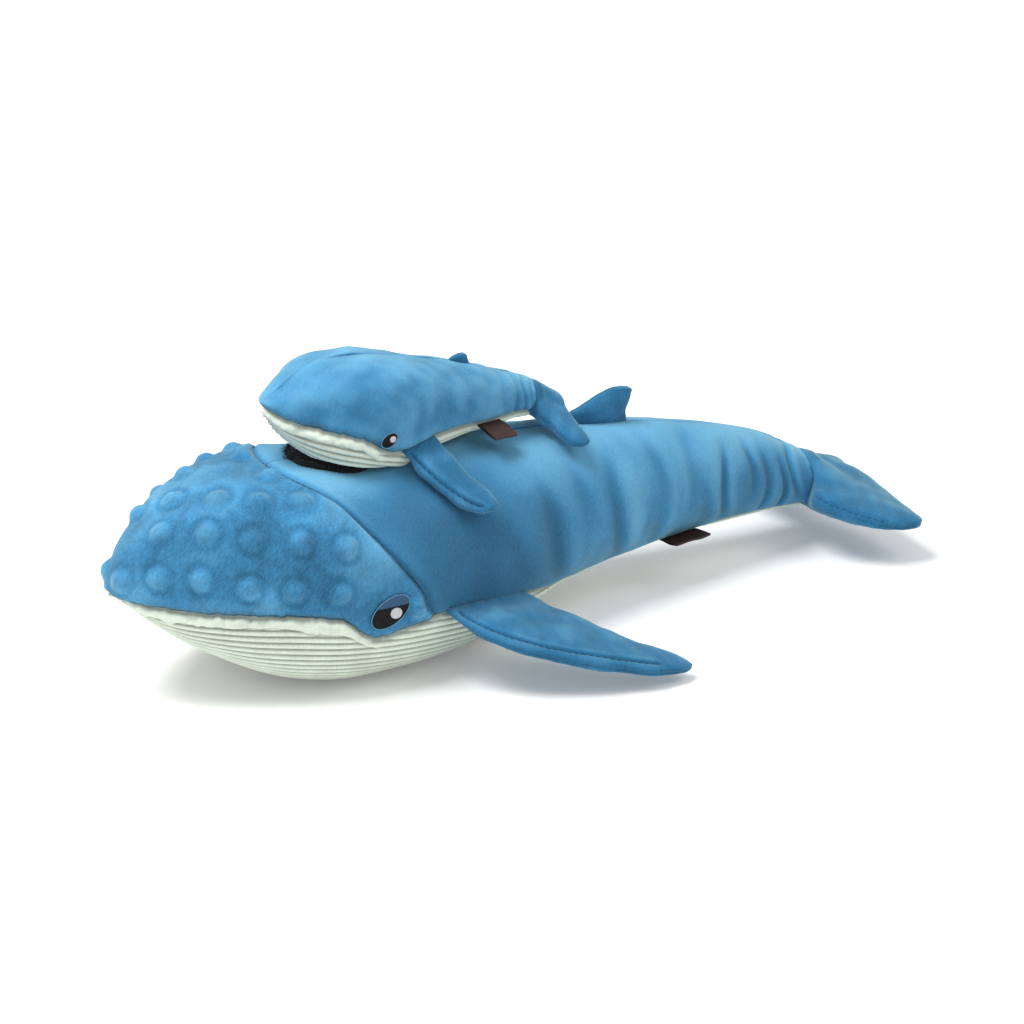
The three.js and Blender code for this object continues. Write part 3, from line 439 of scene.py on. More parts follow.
def panel(name, body, stations, angles, relief, open_front=False):
    """A cloth panel over stations and angles of a body. Relief gives its height over the smooth body and its
    tone of painted shade and light, and its edges turn in to the seams, where shade is painted dark."""
    turn_in, painted_seam_shade = 2.2, -2
    points = body.point(stations, angles)
    ways = body.normal(stations, angles)
    back, across = run_along(points), run_along(points, 1)
    height, tone = relief(points, back, across)
    # A ring of vertices more on each side, but none in front where that is open.
    around = ((0 if open_front else 1, 1), (1, 1))
    surface = np.pad(points + ways * height[..., None], (*around, (0, 0)), mode="edge")
    ways = np.pad(ways, (*around, (0, 0)), mode="edge")
    uv = np.pad(np.stack([back, across], -1), (*around, (0, 0)), mode="edge")
    edge = np.pad(np.zeros(height.shape, bool), around, constant_values=True)
    surface = np.where(edge[..., None], surface - ways * turn_in, surface)
    # The turned-in edges carry painted seam shade.
    tone = np.pad(tone, around, constant_values=painted_seam_shade)
    return new_mesh(name, moved(surface, body.place), grid_faces(*edge.shape), uv, tone)


# ---------------------------------------------------------------------------------------------------------
# Materials


def node(tree, kind, settings=None, inputs=None):
    """Adds a node. Settings are its own properties, and inputs are values, sockets to link, or nodes whose
    first output is linked."""
    made = tree.nodes.new("ShaderNode" + kind)
    for name, value in (settings or {}).items():
        setattr(made, name, value)
    for name, value in (inputs or {}).items():
        if isinstance(value, bpy.types.Node):
            value = value.outputs[0]
        if isinstance(value, bpy.types.NodeSocket):
            tree.links.new(value, made.inputs[name])
        else:
            made.inputs[name].default_value = value
    return made


def new_material(name):
    """An empty material and its node tree."""
    made = bpy.data.materials.get(name) or bpy.data.materials.new(name)
    made.use_nodes = True
    made.node_tree.nodes.clear()
    return made, made.node_tree


def material(inputs_of):
    """Turns a function that gives a surface its inputs into one that makes the material of a name."""
    def make(name, *colours, **settings):
        made, tree = new_material(name)
        surface = node(tree, "BsdfPrincipled", None, inputs_of(tree, *colours, **settings))
        node(tree, "OutputMaterial", None, {"Surface": surface})
        return made
    return make


def shade(colour, amount):
    """A linear colour made lighter or darker, with alpha."""
    return (*[min(c * amount, 1) for c in colour], 1)


def paint_shade_and_light(tree, rise, colour, deep, dark, high, bright):
    """Paints shade onto a colour where cloth lies deep, and paints light onto it where it stands."""
    amount = node(tree, "MapRange", {"interpolation_type": "SMOOTHSTEP"}, {
        "Value": rise, "From Min": deep, "From Max": high, "To Min": dark, "To Max": bright})
    return node(tree, "VectorMath", {"operation": "SCALE"}, {0: colour, "Scale": amount})


def leaning_pile(tree, pile, lie, tones, shades, tuft, tufts, grains):
    """Pile that leans this way and that in patches, with the grain of its tufts."""
    lean = node(tree, "MapRange", None, {"Value": lie, "From Min": tones[0], "From Max": tones[1]})
    tone = node(tree, "Mix", {"data_type": "RGBA"}, {
        0: lean, 6: shade(pile, shades[0]), 7: shade(pile, shades[1])})
    grain = node(tree, "MapRange", None, {
        "Value": tuft, "From Min": tufts[0], "From Max": tufts[1], "To Min": grains[0], "To Max": grains[1]})
    return node(tree, "VectorMath", {"operation": "SCALE"}, {0: tone.outputs[2], "Scale": grain})


@material
def polyester_velour(tree, pile, patch, contrast, streak):
    """Polyester velour, knitted, cut and sheared: short pile that lies in soft patches, light where it leans
    away, with a pale sheen where the eye meets the fibre tips, and painted shade and a painted pale sheen
    read from the rise."""
    place = node(tree, "TexCoord").outputs["Object"]
    # Patches of leaning pile, some 10 to 30 mm across.
    lie = node(tree, "TexNoise", None, {
        "Vector": place, "Scale": 1 / patch, "Detail": 4, "Roughness": 0.6, "Distortion": 0.8})
    # Tufts are about 0.3 mm, too fine to show, so they are drawn at 1 mm, longer the way that the pile leans.
    leaning = node(tree, "Mapping", {"vector_type": "TEXTURE"}, {
        "Vector": place, "Rotation": (0.5, 0.3, 0.9), "Scale": (1, 0.8, 2.2)})
    tuft = node(tree, "TexNoise", None, {
        "Vector": leaning, "Scale": 1 / 0.001, "Detail": 3, "Roughness": 0.65})
    pale = leaning_pile(tree, pile, lie, (0.32, 0.68), (1 - contrast, 1 + contrast), tuft, (0.3, 0.7),
                        (1 - streak, 1 + streak))
    nap = node(tree, "Bump", None, {"Strength": 0.5, "Distance": 0.0007, "Height": tuft})
    # A pale tip colour, a painted sheen, shows more and more above the smooth form, and the rise also paints
    # shade into hollows.
    highest = 1.6
    rise = node(tree, "Attribute", {"attribute_name": "rise"}).outputs["Fac"]
    toned = paint_shade_and_light(tree, rise, pale, -1.6, 0.52, highest, 1.1)
    shown = node(tree, "MapRange", None, {"Value": rise, "From Max": highest, "To Max": 0.22})
    colour = node(tree, "Mix", {"data_type": "RGBA"}, {0: shown, 6: toned, 7: (*linear("#A8DCDE"), 1)})
    return {"Base Color": colour.outputs[2], "Roughness": 0.95, "Specular IOR Level": 0.1,
            "Sheen Weight": 0.5, "Sheen Roughness": 0.45, "Sheen Tint": (0.7, 1, 0.86, 1), "Normal": nap}


@material
def cut_corduroy(tree, pile):
    """Polyester plush corduroy, woven and cut: soft ribs with a matt, slightly uneven nap."""
    place = node(tree, "TexCoord").outputs["Object"]
    lie = node(tree, "TexNoise", None, {"Vector": place, "Scale": 1 / 0.012, "Detail": 3})
    tuft = node(tree, "TexNoise", None, {"Vector": place, "Scale": 1 / 0.0012, "Detail": 2})
    pale = leaning_pile(tree, pile, lie, (0.3, 0.7), (0.9, 1.04), tuft, (0.25, 0.75), (0.93, 1.05))
    nap = node(tree, "Bump", None, {"Strength": 0.4, "Distance": 0.0005, "Height": tuft})
    # Painted shade darkens the grooves and seams, and painted light makes the rib tops paler.
    rise = node(tree, "Attribute", {"attribute_name": "rise"}).outputs["Fac"]
    return {"Base Color": paint_shade_and_light(tree, rise, pale, -0.5, 0.55, 0.4, 1.06), "Roughness": 0.95,
            "Specular IOR Level": 0.12, "Sheen Weight": 0.15, "Sheen Roughness": 0.5, "Normal": nap}


@material
def satin_stitch(tree, thread):
    """Trilobal polyester thread, machine-stitched side by side: fine lines with a soft gloss across them."""
    # Threads lie 0.4 mm apart, drawn at 0.7 mm so that they show.
    lines = node(tree, "TexWave", {"wave_type": "BANDS", "bands_direction": "X"}, {
        "Vector": node(tree, "UVMap", {"uv_map": "cloth"}), "Scale": TURN / 20 / 0.0007, "Distortion": 0.6,
        "Detail": 1, "Detail Scale": 2}).outputs["Fac"]
    tone = node(tree, "Mix", {"data_type": "RGBA"}, {0: lines, 6: shade(thread, 0.72), 7: shade(thread, 1.1)})
    raised = node(tree, "Bump", None, {"Strength": 0.5, "Distance": 0.0003, "Height": lines})
    return {"Base Color": tone.outputs[2], "Roughness": 0.6, "Specular IOR Level": 0.2, "Normal": raised}


@material
def loop_tape(tree, nylon, size=0.0009):
    """Nylon hook-and-loop tape, woven and brushed: a deep black mat of curled fibres without gloss."""
    place = node(tree, "TexCoord").outputs["Object"]
    curls = node(tree, "TexVoronoi", {"feature": "SMOOTH_F1"}, {"Vector": place, "Scale": 1 / size})
    mat = node(tree, "TexNoise", None, {"Vector": place, "Scale": 1 / 0.003, "Detail": 4})
    tone = node(tree, "Mix", {"data_type": "RGBA"}, {0: mat, 6: shade(nylon, 0.6), 7: shade(nylon, 2.2)})
    raised = node(tree, "Bump", None, {"Strength": 0.9, "Distance": 0.0008, "Height": curls})
    return {"Base Color": tone.outputs[2], "Roughness": 0.9, "Specular IOR Level": 0.2, "Sheen Weight": 0.15,
            "Normal": raised}


@material
def woven_label(tree, yarn):
    """Polyester taffeta label, woven: a flat brown cloth with a fine cross weave and a faint gloss."""
    place = node(tree, "UVMap", {"uv_map": "cloth"})
    # The yarns lie 0.25 mm apart, drawn at 0.6 mm so that they show.
    warp, weft = (node(tree, "TexWave", {"wave_type": "BANDS", "bands_direction": way}, {
        "Vector": place, "Scale": TURN / 20 / 0.0006}).outputs["Fac"] for way in "XY")
    weave = node(tree, "Math", {"operation": "MULTIPLY"}, {0: warp, 1: weft})
    tone = node(tree, "Mix", {"data_type": "RGBA"}, {0: weave, 6: shade(yarn, 0.7), 7: shade(yarn, 1.25)})
    raised = node(tree, "Bump", None, {"Strength": 0.4, "Distance": 0.0002, "Height": weave})
    return {"Base Color": tone.outputs[2], "Roughness": 0.6, "Specular IOR Level": 0.35, "Normal": raised}


@material
def spun_thread(tree, thread):
    """Spun polyester sewing thread: a matt, slightly hairy line with a visible twist."""
    twist = node(tree, "TexNoise", None, {
        "Vector": node(tree, "TexCoord").outputs["Object"], "Scale": 1 / 0.0006, "Detail": 1})
    tone = node(tree, "Mix", {"data_type": "RGBA"}, {0: twist, 6: shade(thread, 0.7), 7: shade(thread, 1.3)})
    return {"Base Color": tone.outputs[2], "Roughness": 0.75, "Specular IOR Level": 0.25}


@material
def polyester_fibre(tree):
    """Loose polyester fibre, carded: white, matt and cloudy."""
    clouds = node(tree, "TexNoise", None, {
        "Vector": node(tree, "TexCoord").outputs["Object"], "Scale": 1 / 0.006, "Detail": 4})
    tone = node(tree, "Mix", {"data_type": "RGBA"}, {
        0: clouds, 6: (*linear("#DEDDD8"), 1), 7: (*linear("#F6F5F1"), 1)})
    fluff = node(tree, "Bump", None, {"Strength": 0.6, "Distance": 0.002, "Height": clouds})
    return {"Base Color": tone.outputs[2], "Roughness": 1, "Normal": fluff}


# ---------------------------------------------------------------------------------------------------------
# The bodies' cloth


HEAD_SHARE, HEAD_SWEEP, HEAD_BEND = 0.209, 0.145, 1.4


def head_end(t):
    """The station where the mother's head panel ends, from the left seam at 0 to the right one at 1."""
    return station_at(HEAD_SHARE + HEAD_SWEEP * np.abs(2 * t - 1) ** HEAD_BEND)


def upper_angle(body, station, t):
    seam = body.seam_angle(station)
    return math.pi - seam - t * (math.pi - 2 * seam)


# Raised dots on one half of the head: share of the length, and share of the way from the midline down to
# the widest place.
DOTS = [
    (0.011, 0.549), (0.045, 0.707), (0.085, 0.786), (0.132, 0.861), (0.18, 0.886), (0.23, 0.913),
    (0.328, 1.051),
    (0.058, 0.283), (0.099, 0.464), (0.141, 0.581), (0.192, 0.631), (0.242, 0.686),
    (0.089, 0), (0.124, 0.238), (0.164, 0.36), (0.209, 0.412), (0.196, 0.157),
]


def dot_centres(body):
    centres = []
    angles = np.linspace(math.pi / 2, -0.7, 300)
    for share, down in DOTS:
        line = body.point(station_at(share), angles)
        run = run_along(line)
        x, y, z = read_at(down * np.interp(0, -angles, run), run, line)
        centres += [(x, y, z), (x, -y, z)]
    return np.array(centres)


def dot_relief(points, centres, cloth):
    """Round soft domes, and the faint ring round each where the cloth is drawn down."""
    radius, height = cloth.dot_width / MM / 2, cloth.dot_height / MM
    domes, rings = np.zeros(points.shape[:-1]), np.zeros(points.shape[:-1])
    for centre in centres:
        away = np.linalg.norm(points - centre, axis=-1) / radius
        domes = np.maximum(domes, height * (1 - fade(away, 0.2, 1.15)))
        rings -= 0.3 * bump(away - 1.3, 0.3)
    return domes, rings


# Folds across a flank: share of the length at the side seam and at the top of the fold, where it starts and
# ends on the way from the side seam to the back, depth as a share of the deepest fold, and half width in mm.
MOTHER_FOLDS = [
    (0.565, 0.5, 0.02, 0.7, 0.7, 6), (0.655, 0.645, 0, 0.75, 0.75, 5.5),
    (0.725, 0.71, 0.1, 0.95, 0.35, 6.5), (0.795, 0.785, 0.05, 1, 0.3, 6),
    (0.843, 0.828, 0.1, 0.8, 0.75, 2.5), (0.892, 0.868, 0.3, 0.85, 0.55, 2.4),
    (0.91, 0.902, 0.05, 0.7, 0.55, 2.4), (0.936, 0.944, 0, 0.7, 0.75, 2), (0.965, 0.955, 0.2, 1, 0.65, 2),
    (0.48, 0.43, 0.1, 0.5, 0.4, 8), (0.61, 0.585, 0.35, 0.95, 0.25, 5), (0.762, 0.742, 0, 0.4, 0.3, 4),
]
CALF_FOLDS = [
    (0.85, 0.83, 0.1, 0.95, 0.3, 2.4), (0.905, 0.885, 0, 1, 0.5, 1.5), (0.94, 0.93, 0, 1, 0.6, 1.3),
    (0.972, 0.962, 0, 1, 0.5, 1.2), (0.6, 0.55, 0.2, 0.8, 0.3, 5), (0.7, 0.67, 0.1, 0.8, 0.28, 4),
    (0.47, 0.45, 0, 0.6, 0.35, 3.5),
]


def fold_relief(body, points, up, folds, depth):
    """Up runs from 0 at the side seam to 1 on the back."""
    share = points[..., 0] / body.length
    relief = np.zeros(share.shape)
    for low, high, start, end, deep, width in folds:
        middle = low + (high - low) * up + 0.006 * np.sin(7 * up + 40 * low)
        valley = bump((share - middle) * body.length, width)
        ridge = bump((share - middle) * body.length - 1.8 * width, 1.3 * width)
        there = fade(up, start - 0.1, start + 0.2) * fade(up, 0, 0.12) * (1 - fade(up, end - 0.3, end + 0.05))
        relief += depth * deep * there * (0.4 * ridge - valley)
    return relief


def back_panel(name, body, side, fine, sewing, folds, head):
    """The cloth from one side seam up to the midline, behind the head panel where there is one."""
    columns, rows = fine
    t = eased(columns)[None, :] / 2 + (0 if side < 0 else 0.5)
    nose = 5e-7
    start = head_end(t) if head else station_at(np.full(t.shape, nose))
    stations = start + (1 - start) * eased(rows, 0.6 if head else 0.3)[:, None]
    angles = upper_angle(body, stations, t)
    depth = sewing.crease / MM * (1 if head else 0.6)
    slack_depth = 0.13 if head else 0.05

    def relief(points, back, across):
        low = across if side < 0 else across[:, -1:] - across
        top = across[:, -1:] - low
        up = np.clip(low / np.maximum(low + top, 1e-6), 0, 1)
        share = points[..., 0] / body.length
        height = seam_relief(low, back, sewing) + fold_relief(body, points, up, folds, depth)
        height += seam_relief(back[-1:] - back, across, sewing, 0.5)
        # The seam on the midline is a shallow line, and shows most on the crown of the calf's head.
        shown = 0.5 if head else 0.04 + bump(share - 0.37, 0.09)
        height -= (0.4 * bump(top, 0.7) + 0.2 * bump(top, 3)) * shown
        if head:
            height += 0.7 * seam_relief(back, across, sewing, 0.2)
        height += 0.45 * waves(points, body.length / 7, 3 + side)
        height += 0.13 * waves(points, body.length / 18, 9 + side)
        # Small crosswise slack towards the tail, where the body narrows.
        slack = fade(share, 0.5, 0.7) * fade(up, 0, 0.2) * (1 - fade(up, 0.7, 1))
        height += slack_depth * slack * np.sin(TURN * points[..., 0] / 12 + 2.2 * waves(points, 45, 21))
        # On the back the colour is painted paler, a painted light, and low on the flank behind the head it is
        #         painted darker, a painted shade; the tone also carries the height, so folds and seams get
        #         painted shade.
        lift = 1.1 * fade(up, 0.4, 0.9) if head else 0.6 * fade(up, 0.1, 0.6)
        leaning = 1.7 * bump(share - 0.4, 0.11) * (1 - fade(up, 0.35, 0.95)) if head else 0
        return height, height + lift - leaning

    return panel(name, body, stations, angles, relief, open_front=not head)


def head_panel(body, fine, cloth, sewing):
    """The dotted cloth over the head, which ends in a V on the back."""
    columns, rows = fine
    t = eased(columns)[None, :]
    u = eased(rows, 0.35)[:, None]
    nose = 0.0008
    stations = np.maximum(head_end(t) * u, nose)
    centres = dot_centres(body)

    def relief(points, back, across):
        left, right = across, across[:, -1:] - across
        rear = back[-1:] - back
        nearest = np.minimum(left, right)
        height = seam_relief(nearest, back, sewing) + 0.8 * seam_relief(rear, across, sewing, 0.2)
        domes, rings = dot_relief(points, centres, cloth)
        inside = fade(nearest, 0.5, 4) * fade(rear, 0.5, 4)
        # The head's edge rides up a little over the seam behind it, and puckers behind each eye.
        height += 0.2 * bump(rear - 2.8, 2)
        for middle in (nearest - 7, nearest - 10.5):
            height -= 0.7 * bump(middle - 0.3 * (rear - 5), 1.1) * bump(rear - 5, 3)
        height += 0.5 * waves(points, 42, 5) + 0.25 * waves(points, 17, 6)
        # Painted shade darkens the seam edges and the rings round the dots, and painted light makes the dot
        # tops paler.
        painted_edge_shade = 1.3 * bump(rear, 1.4) + 0.7 * bump(nearest, 1.2)
        return height + (domes + rings) * inside, height + (0.12 * domes + 1.6 * rings) * inside - painted_edge_shade

    return panel("mother_head_cloth", body, stations, upper_angle(body, stations, t), relief, open_front=True)


def belly_panel(name, body, fine, cloth, sewing, rib_line, lip, lip_end, tuck):
    """The ribbed cloth under a whale. Its ribs keep their distance from a smooth line along the mouth, and
    along the mouth itself they are flattened into a puckered lip, as wide as given and up to a share of the
    length. Fine gives its columns and rows."""
    columns, rows = fine
    nose = 0.0015
    along = np.maximum(eased(rows, 0.3), nose)[:, None]
    stations = along * np.ones((1, columns))
    seam = body.seam_angle(stations)
    angles = seam - eased(columns, 0.35)[None, :] * (math.pi + 2 * seam)
    pitch, rib = cloth.rib_pitch / MM, cloth.rib_height / MM
    # The way round from the ribs' line down to the midline.
    line_angle = body.angle_beside(along, body.height * smooth(rib_line)(share_at(along)))
    quarter = body.point(along, line_angle + (-math.pi / 2 - line_angle) * np.linspace(0, 1, 80)[None, :])
    reach = run_along(quarter, 1)[:, -1:]

    def relief(points, back, across):
        width = across[:, -1:]
        nearest = np.minimum(across, width - across)
        share = points[..., 0] / body.length
        from_line = reach - np.sqrt((across - width / 2) ** 2 + 16)
        phase = from_line / pitch + 0.05 * waves(points, 50, 31)
        rounded = 1 - np.abs(2 * (phase % 1) - 1) ** 2.6
        wide = lip * (1 + 0.22 * waves(points, 24, 12) + 0.12 * waves(points, 10, 13))
        forward = 1 - fade(share, lip_end - 0.06, lip_end)
        in_lip = (1 - fade(nearest, 0.8 * wide, 1.05 * wide)) * forward
        ribs = rib * (rounded - 0.7) * (1 - in_lip) * fade(nearest, 0, 1.2) * fade(share, 0.01, 0.07)
        lumps = 0.55 * waves(points, 8, 14) + 0.35 * waves(points, 4, 15)
        puckers = (0.55 + lumps * (0.3 + body.length / 550)) * fade(nearest, 0, 2)
        height = ribs + in_lip * puckers - 0.6 * bump(nearest - wide, 0.9) * forward
        # Painted shade and light: rib tops and lip puckers paler, grooves, seams and the line under the lip
        # darker.
        tone = ribs + in_lip * (0.45 * puckers + 0.1) - 0.5 * bump(nearest - wide, 0.7) * forward
        seams = seam_relief(nearest, back, sewing, 0.4) + seam_relief(back[-1:] - back, across, sewing, 0.5)
        # At the very front the lip tucks in under the nose.
        height -= tuck * (1 - fade(share, 0.004, 0.05))
        return height + seams + 0.35 * waves(points, body.length / 8, 16), tone + 0.4 * seams

    return panel(name, body, stations, angles, relief, open_front=True)


MOTHER_RIB_LINE = [(0, 0.54), (0.07, 0.487), (0.18, 0.46), (0.3, 0.4), (0.43, 0.35), (0.6, 0.27), (1, 0.25)]
CALF_RIB_LINE = [(0, 0.47), (0.03, 0.405), (0.17, 0.365), (0.3, 0.31), (0.44, 0.26), (0.6, 0.3), (1, 0.413)]


def keep_above_ground(piece):
    """Flattens a piece where it lies on the ground."""
    lowest = 0.2 * MM
    places = of_vertices(piece.data)
    places[:, 2] = np.maximum(places[:, 2], lowest)
    set_places(piece.data, places)


# ---------------------------------------------------------------------------------------------------------
# Fins, dorsal fins and flukes


def framed(origin, along, outward, place):
    """A 4x4 place with x along, y out and z square to both."""
    along = unit(along)
    out = unit(outward - along * np.dot(outward, along))
    made = np.eye(4)
    made[:3, 0], made[:3, 1], made[:3, 2], made[:3, 3] = along, out, np.cross(along, out), origin
    return place @ made


TANGENT = 0.04  # share of the length over which the run of a seam is read


def seam_place(body, share, side, droop):
    """On a side seam: x back along it and y out of the body, turned down by a droop in degrees."""
    along = body.side_seam(share + TANGENT, side) - body.side_seam(share - TANGENT, side)
    down = math.radians(droop)
    outward = np.array([0, side * math.cos(down), -math.sin(down)])
    return framed(body.side_seam(share, side), along, outward, body.place)


def back_place(body, share):
    """On the midline of the back: x back along it and y out."""
    at = lambda s: body.point(station_at(s), math.pi / 2)
    return framed(at(share), at(share + TANGENT) - at(share - TANGENT), np.array([0, 0, 1.0]), body.place)


def tail_place(body, pitch):
    top, low = (body.height * body.line[name](1.0) for name in ("back", "belly"))
    return body.place @ turned("Y", pitch, (body.length, 0, (top + low) / 2)), (top - low) / 2


FIN_BODY = {
    "swell": [(0, 0), (0.06, 0), (0.26, 1), (1, 1)],
    "taper": [(0, 1), (0.7, 0.95), (0.92, 0.66), (1, 0.34)],
}
MOTHER_FIN = {
    **FIN_BODY,
    "leading": [(0, -0.5), (0.2, -0.47), (0.4, -0.31), (0.55, -0.11), (0.7, 0.18), (0.85, 0.54),
                (0.95, 0.84), (1, 1.08)],
    "trailing": [(0, 0.5), (0.15, 0.56), (0.3, 0.69), (0.6, 0.92), (0.8, 1.16), (0.9, 1.26), (0.96, 1.29),
                 (1, 1.22)],
}
CALF_FIN = {
    **FIN_BODY,
    "leading": [(0, -0.5), (0.2, -0.5), (0.4, -0.44), (0.6, -0.31), (0.8, -0.14), (0.9, 0.01), (0.96, 0.16),
                (1, 0.38)],
    "trailing": [(0, 0.5), (0.15, 0.5), (0.4, 0.52), (0.6, 0.59), (0.8, 0.67), (0.9, 0.69), (0.96, 0.67),
                 (1, 0.56)],
}
DORSAL = {
    "leading": [(0, -0.5), (0.3, -0.34), (0.6, -0.1), (0.85, 0.08), (1, 0.22)],
    "trailing": [(0, 0.5), (0.3, 0.46), (0.7, 0.49), (0.9, 0.5), (1, 0.45)],
    "swell": [(0, 0), (0.4, 1), (1, 1)],
    "taper": [(0, 1), (0.5, 0.9), (1, 0.45)],
}
CALF_DORSAL = {
    "leading": [(0, -0.5), (0.3, -0.44), (0.6, -0.3), (0.85, -0.1), (1, 0.06)],
    "trailing": [(0, 0.5), (0.3, 0.42), (0.6, 0.33), (0.85, 0.27), (1, 0.2)],
    "swell": [(0, 0), (0.4, 1), (1, 1)],
    "taper": [(0, 1), (0.5, 0.95), (1, 0.6)],
}
LEAF_FULL = 0.8  # below 1 a leaf's section is fuller than an oval
PAST_TIP = 1.0002  # where a leaf would close, just past its last row


def leaf_surface(edges, span, root, thick, neck, rows, columns):
    """Points of a padded leaf: x along its hinge, y out to the tip and z through it."""
    lead, trail, swell, taper = (smooth(edges[name]) for name in ("leading", "trailing", "swell", "taper"))
    root_rows = 8
    behind = np.cos(np.linspace(0, math.pi / 2, root_rows, endpoint=False))
    share = eased(rows - root_rows, 0.55)
    close = closing(share, 0.955, PAST_TIP)
    y = np.concatenate([-neck / 2 * behind, share * span])
    s = np.concatenate([np.zeros(root_rows), share])
    half_thick = (neck + (thick - neck) * swell(s)) * taper(s) / 2
    half_thick[:root_rows] *= np.sqrt(1 - behind ** 2)
    half_thick[root_rows:] *= close
    half_chord = (trail(s) - lead(s)) / 2 * root
    half_chord[root_rows:] *= close
    angle = all_round(columns)
    middle = (lead(s) + trail(s)) / 2 * root
    return as_points(middle[:, None] + half_chord[:, None] * bent(np.cos(angle), LEAF_FULL), y[:, None],
                     half_thick[:, None] * bent(np.sin(angle), LEAF_FULL))


RIM_PUCKER, RIM_WIDTH = 4.6, 1.6  # how the seam round a padded piece puckers it


def padded_relief(points, depth, pucker, seed):
    """Puffs and pulls a padded piece with a flat seam round its edge, at z 0."""
    from_seam = np.abs(points[..., 2])
    run = points[..., 0] + points[..., 1]
    small = 0.5 + 0.5 * np.sin(TURN * run / RIM_PUCKER + 2 * np.sin(run / 6.1))
    puckers = pucker * small * np.exp(-from_seam / RIM_WIDTH) * fade(from_seam, 0.2, 1)
    slack = 0.3 * waves(points, 21, seed) + 0.12 * waves(points, 8, seed + 1)
    return slack - depth * bump(from_seam, 0.75) - puckers


def ring_normals(points):
    """Normals of a grid whose columns go round."""
    round_it = np.roll(points, -1, 1) - np.roll(points, 1, 1)
    along = np.gradient(points, axis=0)
    return unit(np.cross(along, round_it))


def closed_grid(rows, cols):
    """Faces of a grid whose columns go round, with a face over each end."""
    faces = grid_faces(rows, cols, closed=True).tolist()
    return faces + [list(range(cols)), [(rows - 1) * cols + j for j in reversed(range(cols))]]


def tube(line, side, up, radius, angles):
    """Rings of points round a line with its two cross directions."""
    angles = np.asarray(angles)[:, None]
    ring = side[..., None, :] * np.cos(angles) + up[..., None, :] * np.sin(angles)
    return line[..., None, :] + np.asarray(radius)[..., None, None] * ring


def joined(name, grids):
    """Closed grids whose columns go round, as one piece."""
    points, faces, start = [], [], 0
    for grid in grids:
        faces += [[i + start for i in face] for face in closed_grid(*grid.shape[:2])]
        points.append(grid.reshape(-1, 3))
        start += len(points[-1])
    return new_mesh(name, np.concatenate(points), faces)


STITCH_RADIUS = 0.19


def inset_path(front, inset):
    """A flat line moved in from a front edge."""
    along = unit(np.gradient(front, axis=0))
    return front + inset * np.stack([along[:, 1], -along[:, 0]], -1)


def stitched_groove(points, path, facing_up):
    """The valley along a top-stitched line, and the padded rim outside it."""
    away = np.min(np.linalg.norm(points[..., None, :2] - path, axis=-1), -1)
    return facing_up * (-0.75 * bump(away, 0.85) + 0.2 * bump(away - 2, 1.2))


def laid_on(piece, path, place, up):
    """Points of a piece under a flat line in a place's own frame, seen from above, and their normals."""
    mesh = piece.data
    tree = BVHTree.FromPolygons([v.co for v in mesh.vertices], [list(p.vertices) for p in mesh.polygons])
    high = 40
    spots = []
    for x, y in path:
        start = Vector(moved(np.array([x, y, up * high]), place) * MM)
        spot, normal, _, _ = tree.ray_cast(start, Vector(place[:3, 2] * -up))
        if spot is not None:
            spots.append((spot / MM, normal if normal.dot(place[:3, 2] * up) > 0 else -normal))
    return (np.array([list(part[k]) for part in spots]) for k in (0, 1))


def leaf_piece(name, place, edges, sizes, rows, columns, seam_depth, seed, inset=None, up=1):
    """A padded fin in the row frame, and the flat line of its top stitching if it has an inset for it."""
    points = leaf_surface(edges, *sizes, rows, columns)
    normals = ring_normals(points)
    if np.mean(np.sum(normals * (points - points.mean(1, keepdims=True)), -1)) < 0:
        normals = -normals
    relief = padded_relief(points, seam_depth, 0.22, seed)
    path = None
    if inset:
        span, root = sizes[:2]
        share = np.linspace(0.05, 0.955, 220)
        path = inset_path(np.stack([smooth(edges["leading"])(share) * root, share * span], -1), inset)
        relief += stitched_groove(points, path, fade(up * points[..., 2], 0, 1))
    ends = fade(np.arange(rows), 0, 6)[:, None]
    surface = points + normals * (relief * ends)[..., None]
    # The relief is also given as painted shade in the seam valleys and the stitched groove.
    piece = new_mesh(name, moved(surface, place), closed_grid(rows, columns), rise=relief * ends)
    face_outwards(piece)
    return piece, path


MOTHER_FLUKES = {
    "leading": [(0, 0.14), (0.2, 0.1), (0.32, -0.17), (0.45, -0.28), (0.6, -0.24), (0.8, 0), (0.92, 0.26),
                (1, 0.66)],
    "trailing": [(0, 0.82), (0.15, 0.95), (0.4, 1), (0.7, 1), (0.9, 0.97), (1, 0.82)],
    "taper": [(0, 1), (0.15, 0.97), (0.35, 0.84), (0.6, 0.63), (0.85, 0.42), (1, 0.18)],
    "wedge": [(0, 0.94, 0.94), (0.12, 0.96, 0.92), (0.2, 1, 0.83), (0.34, 1.2, 0.84), (0.5, 1.3, 0.72),
              (0.8, 1.2, 0.42)],
}
CALF_FLUKES = {
    "leading": [(0, 0.1), (0.2, 0.12), (0.5, 0.2), (0.8, 0.36), (0.93, 0.52), (1, 0.78)],
    "trailing": [(0, 0.8), (0.2, 0.84), (0.5, 0.9), (0.8, 1.02), (0.93, 1.05), (1, 0.96)],
    "taper": [(0, 1), (0.6, 0.95), (0.9, 0.6), (1, 0.3)],
    "wedge": [(0, 0.92, 0.92), (0.25, 1, 0.84), (0.5, 1.05, 0.6), (0.78, 1, 0.36)],
}


def grown_together(piece, voxel, rounds):
    """Melts the closed forms of a piece into one soft skin."""
    skin = piece.modifiers.new("skin", "REMESH")
    skin.mode, skin.voxel_size = "VOXEL", voxel * MM
    soften = piece.modifiers.new("soften", "SMOOTH")
    soften.factor, soften.iterations = 0.6, rounds
    soft = bpy.data.meshes.new_from_object(piece.evaluated_get(bpy.context.evaluated_depsgraph_get()))
    bare = piece.data
    piece.modifiers.clear()
    piece.data = soft
    bpy.data.meshes.remove(bare)
    soft.shade_smooth()


